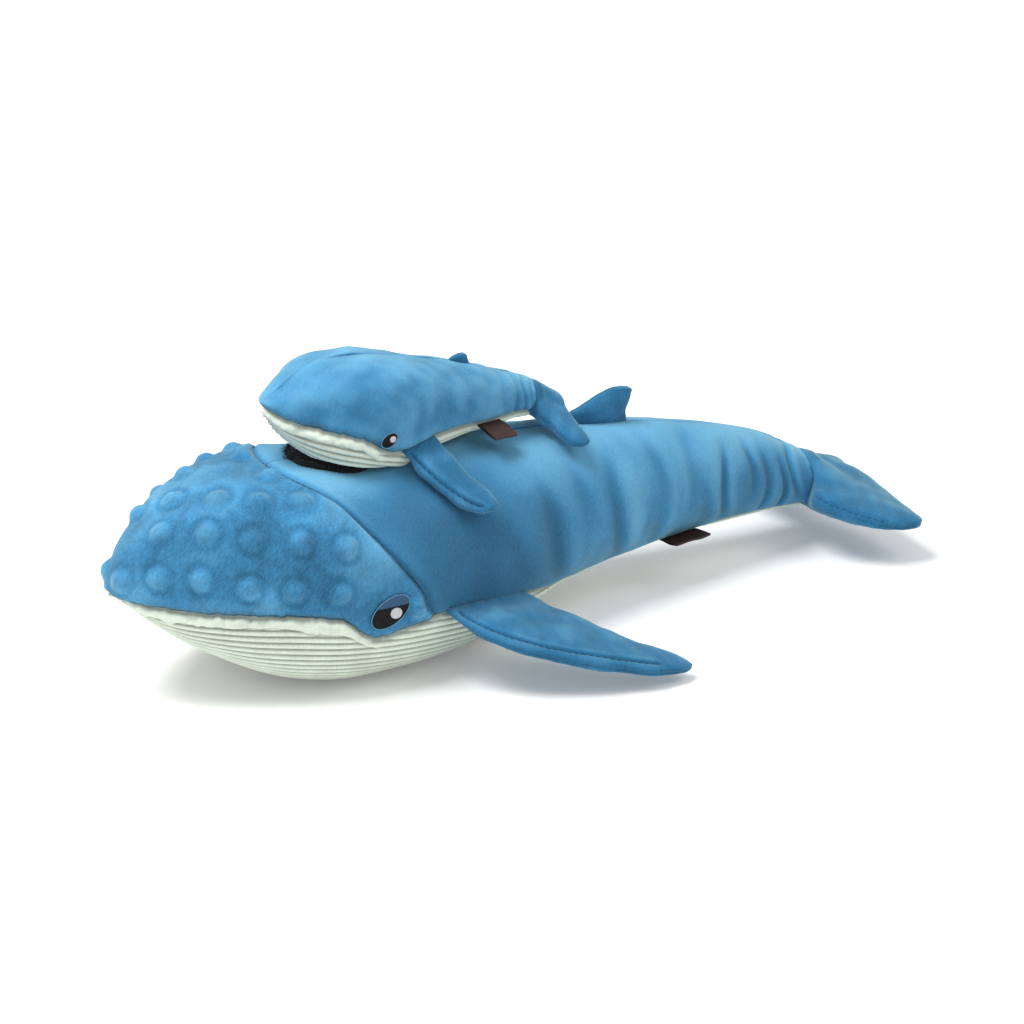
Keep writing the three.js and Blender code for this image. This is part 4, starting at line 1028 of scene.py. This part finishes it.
def fluke_piece(name, place, edges, radius, span, chord, thick, droop, voxel, seam_depth, inset, hang, seed):
    """A ball in the end of the tail, a wedge behind it and two lobes, grown together into one soft form. Also
    returns the flat lines of its top stitching."""
    fall = math.tan(math.radians(droop))
    lead, trail, taper = (smooth(edges[part]) for part in ("leading", "trailing", "taper"))
    wide, high = (smooth([(knot[0], knot[part]) for knot in edges["wedge"]]) for part in (1, 2))
    angle = all_round(32)
    across, up = radius * np.cos(angle), radius * np.sin(angle)
    pole = 0.05
    tilt = np.linspace(pole, math.pi - pole, 18)[:, None]
    ball = as_points(-radius * np.cos(tilt), np.sin(tilt) * across, np.sin(tilt) * up)
    share = np.linspace(0, edges["wedge"][-1][0], 14)[:, None]
    wedge = as_points(share * chord, wide(share) * across, high(share) * up)
    share = np.linspace(-1, 1, 61)[:, None]
    out = np.abs(share)
    close = closing(out, 0.93, PAST_TIP)
    half = (trail(out) - lead(out)) / 2 * chord * close
    level = thick / 2 * taper(out) * close
    middle = (trail(out) + lead(out)) / 2 * chord
    lobes = as_points(middle + half * bent(np.cos(angle), LEAF_FULL), share * span,
                      -out * span * fall + level * bent(np.sin(angle), LEAF_FULL))
    # The cloth runs from the round end of the tail into the middle of each lobe.
    share = np.linspace(0, 1, 14)[:, None, None]
    webs = [(1 - share) * as_points(-2, -side * across, up) + share * lobes[30 + 15 * side]
            for side in (-1, 1)]
    piece = joined(name, (ball, wedge, lobes, *webs))
    grown_together(piece, voxel, 26)
    soft = piece.data
    at, facing = of_vertices(soft) / MM, of_vertices(soft, "normal")
    level = at[:, 2] + np.abs(at[:, 1]) * fall
    flat = as_points(at[:, 0], at[:, 1], level)
    rim = fade(1 - np.abs(facing[:, 2]), 0.2, 0.6) * fade(at[:, 0], -0.3 * radius, 0.2 * radius)
    relief = -seam_depth * bump(level, 0.9) * rim
    pucker = 0.5 + 0.5 * np.sin(TURN * (at[:, 0] + at[:, 1]) / RIM_PUCKER)
    relief -= 0.2 * pucker * np.exp(-np.abs(level) / RIM_WIDTH) * rim
    relief += 0.3 * waves(flat, 22, seed) + 0.12 * waves(flat, 9, seed + 1)
    share = np.linspace(0.42, 0.94, 140)
    paths = []
    if inset:
        front = inset_path(np.stack([lead(share) * chord, share * span], -1), inset)
        paths = [front, front * [1, -1]]
        relief += 0.5 * stitched_groove(at, np.concatenate(paths), fade(facing[:, 2], 0.1, 0.6))
    # The front edge of each lobe hangs.
    out = np.abs(at[:, 1]) / span
    forward = np.clip((trail(out) - at[:, 0] / chord) / (trail(out) - lead(out)), 0, 1)
    at[:, 2] -= hang * forward ** 1.3 * fade(out, 0.12, 0.42)
    # The seam round the end of the tail is painted as a thin dark line of shade, and the relief paints shade
    # into the other seams.
    in_tail = 1 - fade(np.hypot(at[:, 1], at[:, 2]), 0.95 * radius, 1.15 * radius)
    give_painted_shade(soft, relief - 2.2 * bump(at[:, 0] - 0.6, 1.1) * in_tail)
    set_places(soft, moved(at + facing * relief[:, None], place) * MM)
    return piece, paths


def filling_piece(name, cloth, inset, voxel):
    """The loose fibre inside a padded piece."""
    fibre = cloth.copy()
    fibre.name, fibre.data = name, cloth.data.copy()
    bpy.context.scene.collection.objects.link(fibre)
    set_places(fibre.data, of_vertices(fibre.data) - of_vertices(fibre.data, "normal") * inset * MM)
    grown_together(fibre, voxel, 4)
    return fibre


# ---------------------------------------------------------------------------------------------------------
# Eyes, patch, labels and thread


GLINT_TILT = 70


def tilted(u, v, degrees):
    turn = math.radians(degrees)
    return u * math.cos(turn) - v * math.sin(turn), u * math.sin(turn) + v * math.cos(turn)


def oval_piece(name, body, side, x, z, size, tilt, low, high, part=None, rings=14):
    """A satin-stitched oval on a flank with a rounded rim. Part keeps what lies above a line."""
    rim, sunk = 0.35, 0.8
    r = np.linspace(0, 1, rings)[:, None]
    angle = all_round(72)[None, :]
    along, up = tilted(r * size[0] / 2 * np.cos(angle), r * size[1] / 2 * np.sin(angle), tilt)
    if part is not None:
        # What lies under the line moves up to it, between the places where the line crosses the rim.
        ends = along[-1][(up[-1] > part) != (np.roll(up[-1], -1) > part)]
        along = np.where(up < part, np.clip(along, ends.min(), ends.max()), along)
        up = np.maximum(up, part)
    spot, facing = body.flank_at(x + along, z + up, side)
    surface = spot + facing * (low + (high - low) * closing(r, 1 - rim))[..., None]
    surface = np.concatenate([surface, spot[-1:] + facing[-1:] * (low - sunk)])
    uv = np.stack([along, up], -1)
    uv = np.concatenate([uv, uv[-1:]])
    piece = new_mesh(name, moved(surface, body.place), grid_faces(*surface.shape[:2], closed=True), uv)
    if side > 0:
        piece.data.flip_normals()
    return piece


def ring_piece(name, body, side, x, z, size, tilt, width, lift):
    """The thread line round an eye: a round cord laid on the flank."""
    count, around, twists, run = 96, 8, 44, 40
    angle = all_round(count)[:, None]
    section = all_round(around)[None, :]
    u = (size[0] / 2 + width / 2 * np.cos(section)) * np.cos(angle)
    v = (size[1] / 2 + width / 2 * np.cos(section)) * np.sin(angle)
    along, up = tilted(u, v, tilt)
    spot, facing = body.flank_at(x + along, z + up, side)
    height = lift + width / 2 * np.sin(section) * (1 + 0.2 * np.sin(angle * twists))
    surface = spot + facing * height[..., None]
    surface = np.concatenate([surface, surface[:1]])
    uv = np.stack(np.broadcast_arrays(np.linspace(0, run, count + 1)[:, None], section), -1)
    piece = new_mesh(name, moved(surface, body.place), grid_faces(count + 1, around, closed=True), uv)
    face_outwards(piece)
    return piece


def stitches(name, line, facing, length, radius):
    """Separate stitches along a line, each a short round bead of thread."""
    run = run_along(line)
    gap = 0.28 * length
    starts = np.arange(gap, run[-1] - length, length + gap)
    shares = np.linspace(0, 1, 7)
    where = starts[:, None] + shares * length
    middle, up = read_at(where, run, line), unit(read_at(where, run, facing))
    side = unit(np.cross(unit(np.gradient(middle, axis=1)), up))
    thick = radius * np.sqrt(np.clip(1 - (2 * shares - 1) ** 4, 0.02, 1))
    centre = middle + up * (0.9 * radius * np.sin(math.pi * shares))[:, None]
    return joined(name, tube(centre, side, up, thick, all_round(6)))


def on_tape(angle, out):
    """Point and normal on the mother's back, from the middle of the tape."""
    return mother.back_at(TAPE_AT[0] + out * np.cos(angle), TAPE_AT[1] + out * np.sin(angle))


def disc_sheet(name, radius, low, high, seed, rough):
    """A round pad of tape on the mother's back, with a soft edge and an uneven top."""
    r = np.concatenate([np.linspace(0.001, 0.9, 26), np.linspace(0.92, 1, 8)])[:, None]
    angle = all_round(160)[None, :]
    wobble = 1 + 0.012 * np.sin(5 * angle + seed) + 0.008 * np.sin(13 * angle)
    spot, facing = on_tape(angle, radius * r * wobble)
    soft = closing(r, 0.93)
    top = low + (high - low) * soft + rough * waves(spot, 3.2, seed) * fade(r, 0, 0.1) * soft
    surface = np.concatenate([spot + facing * top[..., None], spot[-1:] + facing[-1:] * (low - 1)])
    return new_mesh(name, moved(surface, mother.place), grid_faces(*surface.shape[:2], closed=True))


def fuzz(name, count, radius, height, seed):
    """Loose fibres that stand off the edge and the top of the round patch."""
    shortest, longest, thickest = 1.2, 3.2, 0.09
    chance = np.random.default_rng(seed)
    angle = chance.uniform(0, TURN, count)
    root, facing = on_tape(angle, radius * np.sqrt(chance.uniform(0.55, 1.02, count)))
    root = root + facing * (height * chance.uniform(0.2, 1, (count, 1)))
    outward = as_points(np.cos(angle), np.sin(angle), 0)
    way = unit(outward * chance.uniform(-0.2, 1.1, (count, 1)) + facing * chance.uniform(0, 0.5, (count, 1))
               + chance.normal(0, 0.7, (count, 3)))
    bend = chance.normal(0, 0.5, (count, 3))
    long = chance.uniform(shortest, longest, (count, 1))
    side = unit(np.cross(way, facing + 0.01))
    up = np.cross(side, way)
    root, way, bend, long, side, up = (of[:, None] for of in (root, way, bend, long, side, up))
    share = np.linspace(0, 1, 5)[:, None]
    line = root + (way * share + bend * share ** 2 * 0.6) * long
    hairs = tube(line, side, up, thickest * (1 - 0.6 * share[:, 0]), (0.3, 2.4, 4.5))
    return joined(name, moved(hairs, mother.place))


def thread_tail(name, path, radius):
    """A loose end of thread along a smooth path, in the row frame."""
    knots = np.array(path, float)
    at = np.linspace(0, len(knots) - 1, 24)
    line = np.stack([smooth(list(enumerate(knots[:, k])))(at) for k in range(3)], -1)
    ahead = unit(np.gradient(line, axis=0))
    side = unit(np.cross(ahead, [0.1, 0.2, 1]))
    rings = tube(line, side, np.cross(side, ahead), radius, all_round(6))
    return joined(name, rings[None])


def label_piece(name, place, width, reach, seed):
    """A folded woven strip: both ends lie in the seam, and the fold bulges a little."""
    columns, cloth = 36, 0.45
    across = np.linspace(-0.5, 0.5, columns)
    edge = reach - 0.9
    half = np.linspace(0, 1, 32)
    fold = np.linspace(-math.pi / 2, math.pi / 2, 12)
    y = np.concatenate([half * edge, edge + 0.75 * np.cos(fold), half[::-1] * edge])
    open_up = 0.35 + 0.5 * np.sin(math.pi * half * 0.9)
    z = np.concatenate([-open_up, np.sin(fold) * open_up[-1] * 1.25, open_up[::-1]])
    line = np.stack([y, z], -1)
    normal = unit(np.stack([np.gradient(z), -np.gradient(y)], -1))
    layers = []
    for depth in (0, -cloth):
        flat = line + normal * depth
        points = as_points(across * width, flat[:, :1], flat[:, 1:])
        points[..., 2] += 0.28 * waves(points * [1, 1, 0], 11, seed) * fade(points[..., 1], 0, 5)
        layers.append(points)
    outer, inner = layers
    surface = np.concatenate([outer, inner[::-1], outer[:1]])
    rows = len(surface)
    uv = np.stack([surface[..., 0], np.broadcast_to(np.arange(rows)[:, None] * 0.4, surface.shape[:2])], -1)
    faces = grid_faces(rows, columns).tolist()
    for j in (0, columns - 1):
        for i in range(len(outer) - 1):
            k = 2 * len(outer) - 1 - i
            faces.append([i * columns + j, (i + 1) * columns + j, (k - 1) * columns + j, k * columns + j])
    piece = new_mesh(name, moved(surface, place), faces, uv)
    face_outwards(piece)
    return piece


# ---------------------------------------------------------------------------------------------------------
# Operators


class PLUSHWHALE_OT_stage(bpy.types.Operator):
    """Sets the floor, the soft lights and the camera"""
    bl_idname = "plush_whale.stage"
    bl_label = "Stage"

    def execute(self, context):
        scene = context.scene
        stage = scene.whale_stage
        scene.view_settings.view_transform = "Standard"
        # Camera rays see an even white behind the floor, and so do mirrored and clear surfaces.
        world = bpy.data.worlds.new("pale_room")
        scene.world = world
        world.use_nodes = True
        tree = world.node_tree
        tree.nodes.clear()
        path = node(tree, "LightPath")
        seen = node(tree, "Math", {"operation": "MAXIMUM"}, {
            0: path.outputs["Is Camera Ray"], 1: path.outputs["Is Glossy Ray"]})
        seen = node(tree, "Math", {"operation": "MAXIMUM"}, {0: seen, 1: path.outputs["Is Transmission Ray"]})
        room, white = (node(tree, "Background", None, {"Color": (1, 1, 1, 1), "Strength": strength})
                       for strength in (stage.sky, 1))
        mixed = node(tree, "MixShader", None, {0: seen, 1: room, 2: white})
        node(tree, "OutputWorld", None, {"Surface": mixed})

        # Painted board: matt, and lit a little for the camera alone, so that it meets the white behind it.
        made, tree = new_material("matt_painted_board")
        grain = node(tree, "TexNoise", None, {
            "Vector": node(tree, "TexCoord").outputs["Object"], "Scale": 40, "Detail": 2})
        tint = node(tree, "Mix", {"data_type": "RGBA"}, {
            0: grain, 6: shade(stage.floor, 0.99), 7: shade(stage.floor, 1)})
        paint = node(tree, "BsdfDiffuse", None, {"Color": tint.outputs[2]})
        away = node(tree, "VectorMath", {"operation": "LENGTH"}, {0: node(tree, "NewGeometry")})
        amount = node(tree, "MapRange", None, {
            "Value": away.outputs["Value"], "From Min": 0.4, "From Max": 2, "To Min": 0.16, "To Max": 0.75})
        glow = node(tree, "Math", {"operation": "MULTIPLY"}, {
            0: node(tree, "LightPath").outputs["Is Camera Ray"], 1: amount})
        light = node(tree, "Emission", None, {"Strength": glow})
        both = node(tree, "AddShader", None, {0: paint, 1: light})
        node(tree, "OutputMaterial", None, {"Surface": both})
        far = 6000
        corners = [(-far, -far, 0), (far, -far, 0), (far, far, 0), (-far, far, 0)]
        floor = new_mesh("floor", corners, [range(4)])
        floor.data.materials.append(made)

        for name, power, size, at in [
                ("key", stage.key, 0.7, (-0.55, 0.15, 1.45)), ("fill", stage.fill, 0.8, (0.9, -0.7, 1.2))]:
            lamp = bpy.data.lights.new(name, "AREA")
            lamp.energy, lamp.size = power, size
            holder = bpy.data.objects.new(name, lamp)
            holder.location = at
            holder.rotation_euler = (Vector((0.05, 0, 0.03)) - Vector(at)).to_track_quat("-Z", "Y").to_euler()
            scene.collection.objects.link(holder)

        # The camera stands 1.2 m away, 30 degrees towards the nose and 23 degrees up.
        target, distance = Vector((0.05, 0, 0.05)), 1.2
        azimuth, elevation = math.radians(-30), math.radians(23)
        back = Vector((math.sin(azimuth) * math.cos(elevation), -math.cos(azimuth) * math.cos(elevation),
                       math.sin(elevation)))
        lens = bpy.data.cameras.new("camera")
        lens.lens, lens.sensor_width = 89, 36
        target_column, target_row, image = 466, 519, 1024
        lens.shift_x = (image / 2 - target_column) / image
        lens.shift_y = (target_row - image / 2) / image
        camera = bpy.data.objects.new("camera", lens)
        camera.location = target + distance * back
        camera.rotation_euler = (-back).to_track_quat("-Z", "Y").to_euler()
        scene.collection.objects.link(camera)
        scene.camera = camera
        return {"FINISHED"}


class PLUSHWHALE_OT_mother_body(bpy.types.Operator):
    """Sews the mother's head, back and belly cloth"""
    bl_idname = "plush_whale.mother_body"
    bl_label = "Mother's body"

    def execute(self, context):
        cloth, sewing = context.scene.whale_cloth, context.scene.whale_sewing
        velour = polyester_velour("sheared_velour", cloth.pile, patch=0.03, contrast=0.07, streak=0.15)
        dotted = polyester_velour(
            "embossed_dot_velour", cloth.pile, patch=0.014, contrast=0.23, streak=0.24)
        corduroy = cut_corduroy("cut_corduroy", cloth.belly)
        head = head_panel(mother, (300, 190), cloth, sewing)
        dress(head, "mother", dotted, ["mother_head_panel"])
        for word, side in SIDES.items():
            back = back_panel(
                f"mother_{word}_back_cloth", mother, side, (130, 260), sewing, MOTHER_FOLDS, head=True)
            dress(back, "mother", velour, [f"mother_back_{word}"])
        belly = belly_panel(
            "mother_belly_cloth", mother, (420, 300), cloth, sewing, MOTHER_RIB_LINE, lip=6.5, lip_end=0.3,
            tuck=2.4)
        keep_above_ground(belly)
        dress(belly, "mother", corduroy, ["mother_belly_panel"])
        return {"FINISHED"}


class PLUSHWHALE_OT_calf_body(bpy.types.Operator):
    """Sews the calf's back and belly cloth"""
    bl_idname = "plush_whale.calf_body"
    bl_label = "Calf's body"

    def execute(self, context):
        cloth, sewing = context.scene.whale_cloth, context.scene.whale_sewing
        velour = bpy.data.materials["sheared_velour"]
        corduroy = bpy.data.materials["cut_corduroy"]
        for word, side in SIDES.items():
            back = back_panel(
                f"calf_{word}_back_cloth", calf, side, (80, 170), sewing, CALF_FOLDS, head=False)
            dress(back, "calf", velour, [f"calf_back_{word}"])
        belly = belly_panel(
            "calf_belly_cloth", calf, (230, 180), cloth, sewing, CALF_RIB_LINE, lip=6, lip_end=0.36,
            tuck=0.8)
        dress(belly, "calf", corduroy, ["calf_belly_panel"])
        return {"FINISHED"}


class PLUSHWHALE_OT_fins(bpy.types.Operator):
    """Sews the side fins and dorsal fins, and the stitches round them"""
    bl_idname = "plush_whale.fins"
    bl_label = "Fins"

    def execute(self, context):
        sewing = context.scene.whale_sewing
        velour = polyester_velour(
            "sheared_fin_velour", context.scene.whale_cloth.fin_pile, patch=0.014, contrast=0.1, streak=0.16)
        thread = spun_thread("spun_sewing_thread", sewing.thread)
        length = sewing.stitch / MM
        for who, body, edges, share, droop, sizes, depth, inset, fine in [
                ("mother", mother, MOTHER_FIN, 0.433, 12.6, (76, 50, 10, 5.4), 0.35, 3.4, (150, 200)),
                ("calf", calf, CALF_FIN, 0.49, 40, (44, 20, 7, 4), 0.3, 2.6, (110, 150))]:
            for word, side in SIDES.items():
                prefix = f"{who}_{word}_fin"
                place = seam_place(body, share, side, droop)
                fin, path = leaf_piece(
                    f"{prefix}_cloth", place, edges, sizes, *fine, depth, 40 + side, inset, side)
                dress(fin, prefix, velour, [f"{prefix}_top", f"{prefix}_under"])
                row = stitches(f"{prefix}_stitches", *laid_on(fin, path, place, side), length, STITCH_RADIUS)
                dress(row, prefix, thread)
        for who, body, edges, share, sizes, depth, fine in [
                ("mother", mother, DORSAL, 0.665, (17.5, 42, 8, 4.8), 0.6, (60, 96)),
                ("calf", calf, CALF_DORSAL, 0.7, (4.4, 12, 4.2, 3.2), 0.3, (44, 64))]:
            prefix = f"{who}_dorsal_fin"
            place = back_place(body, share)
            fin, _ = leaf_piece(f"{prefix}_cloth", place, edges, sizes, *fine, depth, seed=50)
            dress(fin, prefix, velour, [f"{prefix}_left", f"{prefix}_right"])
        return {"FINISHED"}


class PLUSHWHALE_OT_flukes(bpy.types.Operator):
    """Sews both pairs of flukes"""
    bl_idname = "plush_whale.flukes"
    bl_label = "Flukes"

    def execute(self, context):
        velour, thread = bpy.data.materials["sheared_fin_velour"], bpy.data.materials["spun_sewing_thread"]
        fibre = polyester_fibre("carded_polyester_fibre")
        length = context.scene.whale_sewing.stitch / MM
        for who, body, edges, pitch, sizes, droop, voxel, depth, inset, hang in [
                ("mother", mother, MOTHER_FLUKES, 17, (62, 40, 22), 2, 0.9, 0.5, 1.3, 4.5),
                ("calf", calf, CALF_FLUKES, 6, (31, 19.5, 7.5), 22, 0.6, 0.35, None, 3)]:
            place, radius = tail_place(body, pitch)
            flukes, paths = fluke_piece(
                f"{who}_fluke_cloth", place, edges, float(radius), *sizes, droop, voxel, depth, inset, hang,
                seed=60)
            prefix = f"{who}_flukes"
            dress(flukes, prefix, velour, [f"{prefix}_top", f"{prefix}_under"])
            filling = filling_piece(f"{who}_fluke_fibre", flukes, 1.5 if who == "mother" else 1.1, 1.2)
            dress(filling, prefix, fibre, [f"{prefix}_filling"])
            for word, path in zip(("right", "left"), paths):
                spots = laid_on(flukes, path, place, 1)
                row = stitches(f"{prefix}_{word}_stitches", *spots, length, STITCH_RADIUS)
                dress(row, prefix, thread)
        return {"FINISHED"}


class PLUSHWHALE_OT_eyes(bpy.types.Operator):
    """Embroiders the eyes"""
    bl_idname = "plush_whale.eyes"
    bl_label = "Eyes"

    def execute(self, context):
        trim = context.scene.whale_trim
        black, navy, light, pale = (satin_stitch(f"satin_stitch_{word}", colour) for word, colour in (
            ("black", trim.pupil), ("navy", trim.lid), ("light", trim.glint), ("outline", trim.outline)))
        for word, side in SIDES.items():
            for who, body, share, rise, size, tilt, glint, glint_size, lid in [
                    ("mother", mother, 0.292, 0.422, (20.5, 12.8), 30, (2.5, -0.8), (5.6, 6.2), 2.7),
                    ("calf", calf, 0.355, 0.315, (8.6, 6.4), 35, (1.3, 0.7), (3.2, 3.4), None)]:
                prefix = f"{who}_{word}_eye"
                x, z = share * body.length, rise * body.height
                eye = (body, side, x, z, size, tilt)
                pupil = oval_piece(f"{prefix}_pupil_thread", *eye, low=0, high=0.9)
                dress(pupil, who, black, [f"{prefix}_pupil"])
                spot = oval_piece(
                    f"{prefix}_glint_thread", body, side, x + glint[0], z + glint[1], glint_size, GLINT_TILT,
                    low=0.6, high=1.25)
                dress(spot, who, light, [f"{prefix}_glint"])
                if lid:
                    cover = oval_piece(
                        f"{prefix}_lid_thread", *eye, low=0.3, high=1.15, part=lid, rings=24)
                    dress(cover, who, navy, [f"{prefix}_lid"])
                outline = ring_piece(f"{prefix}_outline_thread", *eye, width=0.5, lift=0.4)
                dress(outline, who, pale)
        return {"FINISHED"}


class PLUSHWHALE_OT_patch(bpy.types.Operator):
    """Lays the hook-and-loop patch between the two whales"""
    bl_idname = "plush_whale.patch"
    bl_label = "Hook-and-loop patch"

    def execute(self, context):
        tape = loop_tape("brushed_loop_tape", context.scene.whale_trim.tape)
        hooks = loop_tape("moulded_hook_tape", context.scene.whale_trim.tape, size=0.0015)
        top_of_loop = PATCH_LIFT + PATCH_THICK
        loop = disc_sheet("mother_loop_tape", TAPE_RADIUS, 0.2, top_of_loop, seed=2, rough=0.06)
        dress(loop, "mother", tape, ["mother_loop_patch"])
        hook = disc_sheet(
            "calf_hook_tape", HOOK_RADIUS, top_of_loop + 0.3, top_of_loop + PATCH_THICK + 0.4, seed=4,
            rough=0.04)
        dress(hook, "calf", hooks, ["calf_hook_patch"])
        fibres = fuzz("mother_loop_fibres", 2600, TAPE_RADIUS, top_of_loop, seed=7)
        dress(fibres, "mother", tape)
        front = TAPE_AT[0] - TAPE_RADIUS
        top = float(mother.height_over(front, -4)) + 1
        path = [(front + 2, -4, top), (front - 1, -4.5, top + 1), (front - 3.5, -4, top + 1.4),
                (front - 4.5, -5, top + 3)]
        tail = thread_tail("mother_loose_thread", moved(np.array(path), mother.place), 0.22)
        dress(tail, "mother", tape)
        return {"FINISHED"}


class PLUSHWHALE_OT_labels(bpy.types.Operator):
    """Folds the bare woven labels into the left seams"""
    bl_idname = "plush_whale.labels"
    bl_label = "Labels"

    def execute(self, context):
        cloth = woven_label("woven_taffeta_label", context.scene.whale_trim.label)
        for who, body, share, droop, width, reach in [
                ("mother", mother, 0.777, -7, 21, 15), ("calf", calf, 0.79, 16, 14, 13.4)]:
            place = seam_place(body, share, -1, droop)
            piece = label_piece(f"{who}_label_cloth", place, width, reach, seed=71)
            dress(piece, who, cloth, [f"{who}_label"])
        return {"FINISHED"}


class PLUSHWHALE_OT_seam_threads(bpy.types.Operator):
    """Sews the stitches that show in the mother's head seam"""
    bl_idname = "plush_whale.seam_threads"
    bl_label = "Seam threads"

    def execute(self, context):
        sewing = context.scene.whale_sewing
        thread = bpy.data.materials["spun_sewing_thread"]
        depth, length = sewing.seam_depth / MM, sewing.stitch / MM
        t = np.linspace(0.01, 0.99, 400)
        stations = head_end(t)
        angles = upper_angle(mother, stations, t)
        facing = mother.normal(stations, angles)
        line = mother.point(stations, angles) - facing * (0.95 * depth)
        facing = facing @ mother.place[:3, :3].T
        row = stitches("mother_head_seam_stitches", moved(line, mother.place), facing, length, radius=0.24)
        dress(row, "mother", thread)
        return {"FINISHED"}


class PLUSHWHALE_OT_fillings(bpy.types.Operator):
    """Gives the fillings inside their loose white fibre"""
    bl_idname = "plush_whale.fillings"
    bl_label = "Fillings"

    def execute(self, context):
        fibre = bpy.data.materials["carded_polyester_fibre"]
        for name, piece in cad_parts.items():
            if name.endswith("_filling"):
                piece.data.materials.clear()
                piece.data.materials.append(fibre)
        return {"FINISHED"}


STEPS = (
    PLUSHWHALE_OT_stage, PLUSHWHALE_OT_mother_body, PLUSHWHALE_OT_calf_body, PLUSHWHALE_OT_fins,
    PLUSHWHALE_OT_flukes, PLUSHWHALE_OT_eyes, PLUSHWHALE_OT_patch, PLUSHWHALE_OT_labels,
    PLUSHWHALE_OT_seam_threads, PLUSHWHALE_OT_fillings,
)
GROUPS = {
    "whale_cloth": WhaleCloth, "whale_sewing": WhaleSewing, "whale_trim": WhaleTrim,
    "whale_stage": WhaleStage}


class PLUSHWHALE_PT_sidebar(bpy.types.Panel):
    """Lists the steps and settings of the plush whale"""
    bl_idname = "PLUSHWHALE_PT_sidebar"
    bl_label = "Plush whale"
    bl_space_type = "VIEW_3D"
    bl_region_type = "UI"
    bl_category = "Whale"

    def draw(self, context):
        for step in STEPS:
            self.layout.operator(step.bl_idname)
        for name, group in GROUPS.items():
            box = self.layout.box()
            for setting in group.__annotations__:
                box.prop(getattr(context.scene, name), setting)


def register():
    for group in GROUPS.values():
        bpy.utils.register_class(group)
    for step in STEPS:
        bpy.utils.register_class(step)
    bpy.utils.register_class(PLUSHWHALE_PT_sidebar)
    for name, group in GROUPS.items():
        setattr(bpy.types.Scene, name, bpy.props.PointerProperty(type=group))


def unregister():
    for name in GROUPS:
        delattr(bpy.types.Scene, name)
    bpy.utils.unregister_class(PLUSHWHALE_PT_sidebar)
    for step in reversed(STEPS):
        bpy.utils.unregister_class(step)
    for group in reversed(list(GROUPS.values())):
        bpy.utils.unregister_class(group)


def main():
    register()
    for step in STEPS:
        section, name = step.bl_idname.split(".")
        getattr(getattr(bpy.ops, section), name)()


if __name__ == "__main__":
    main()
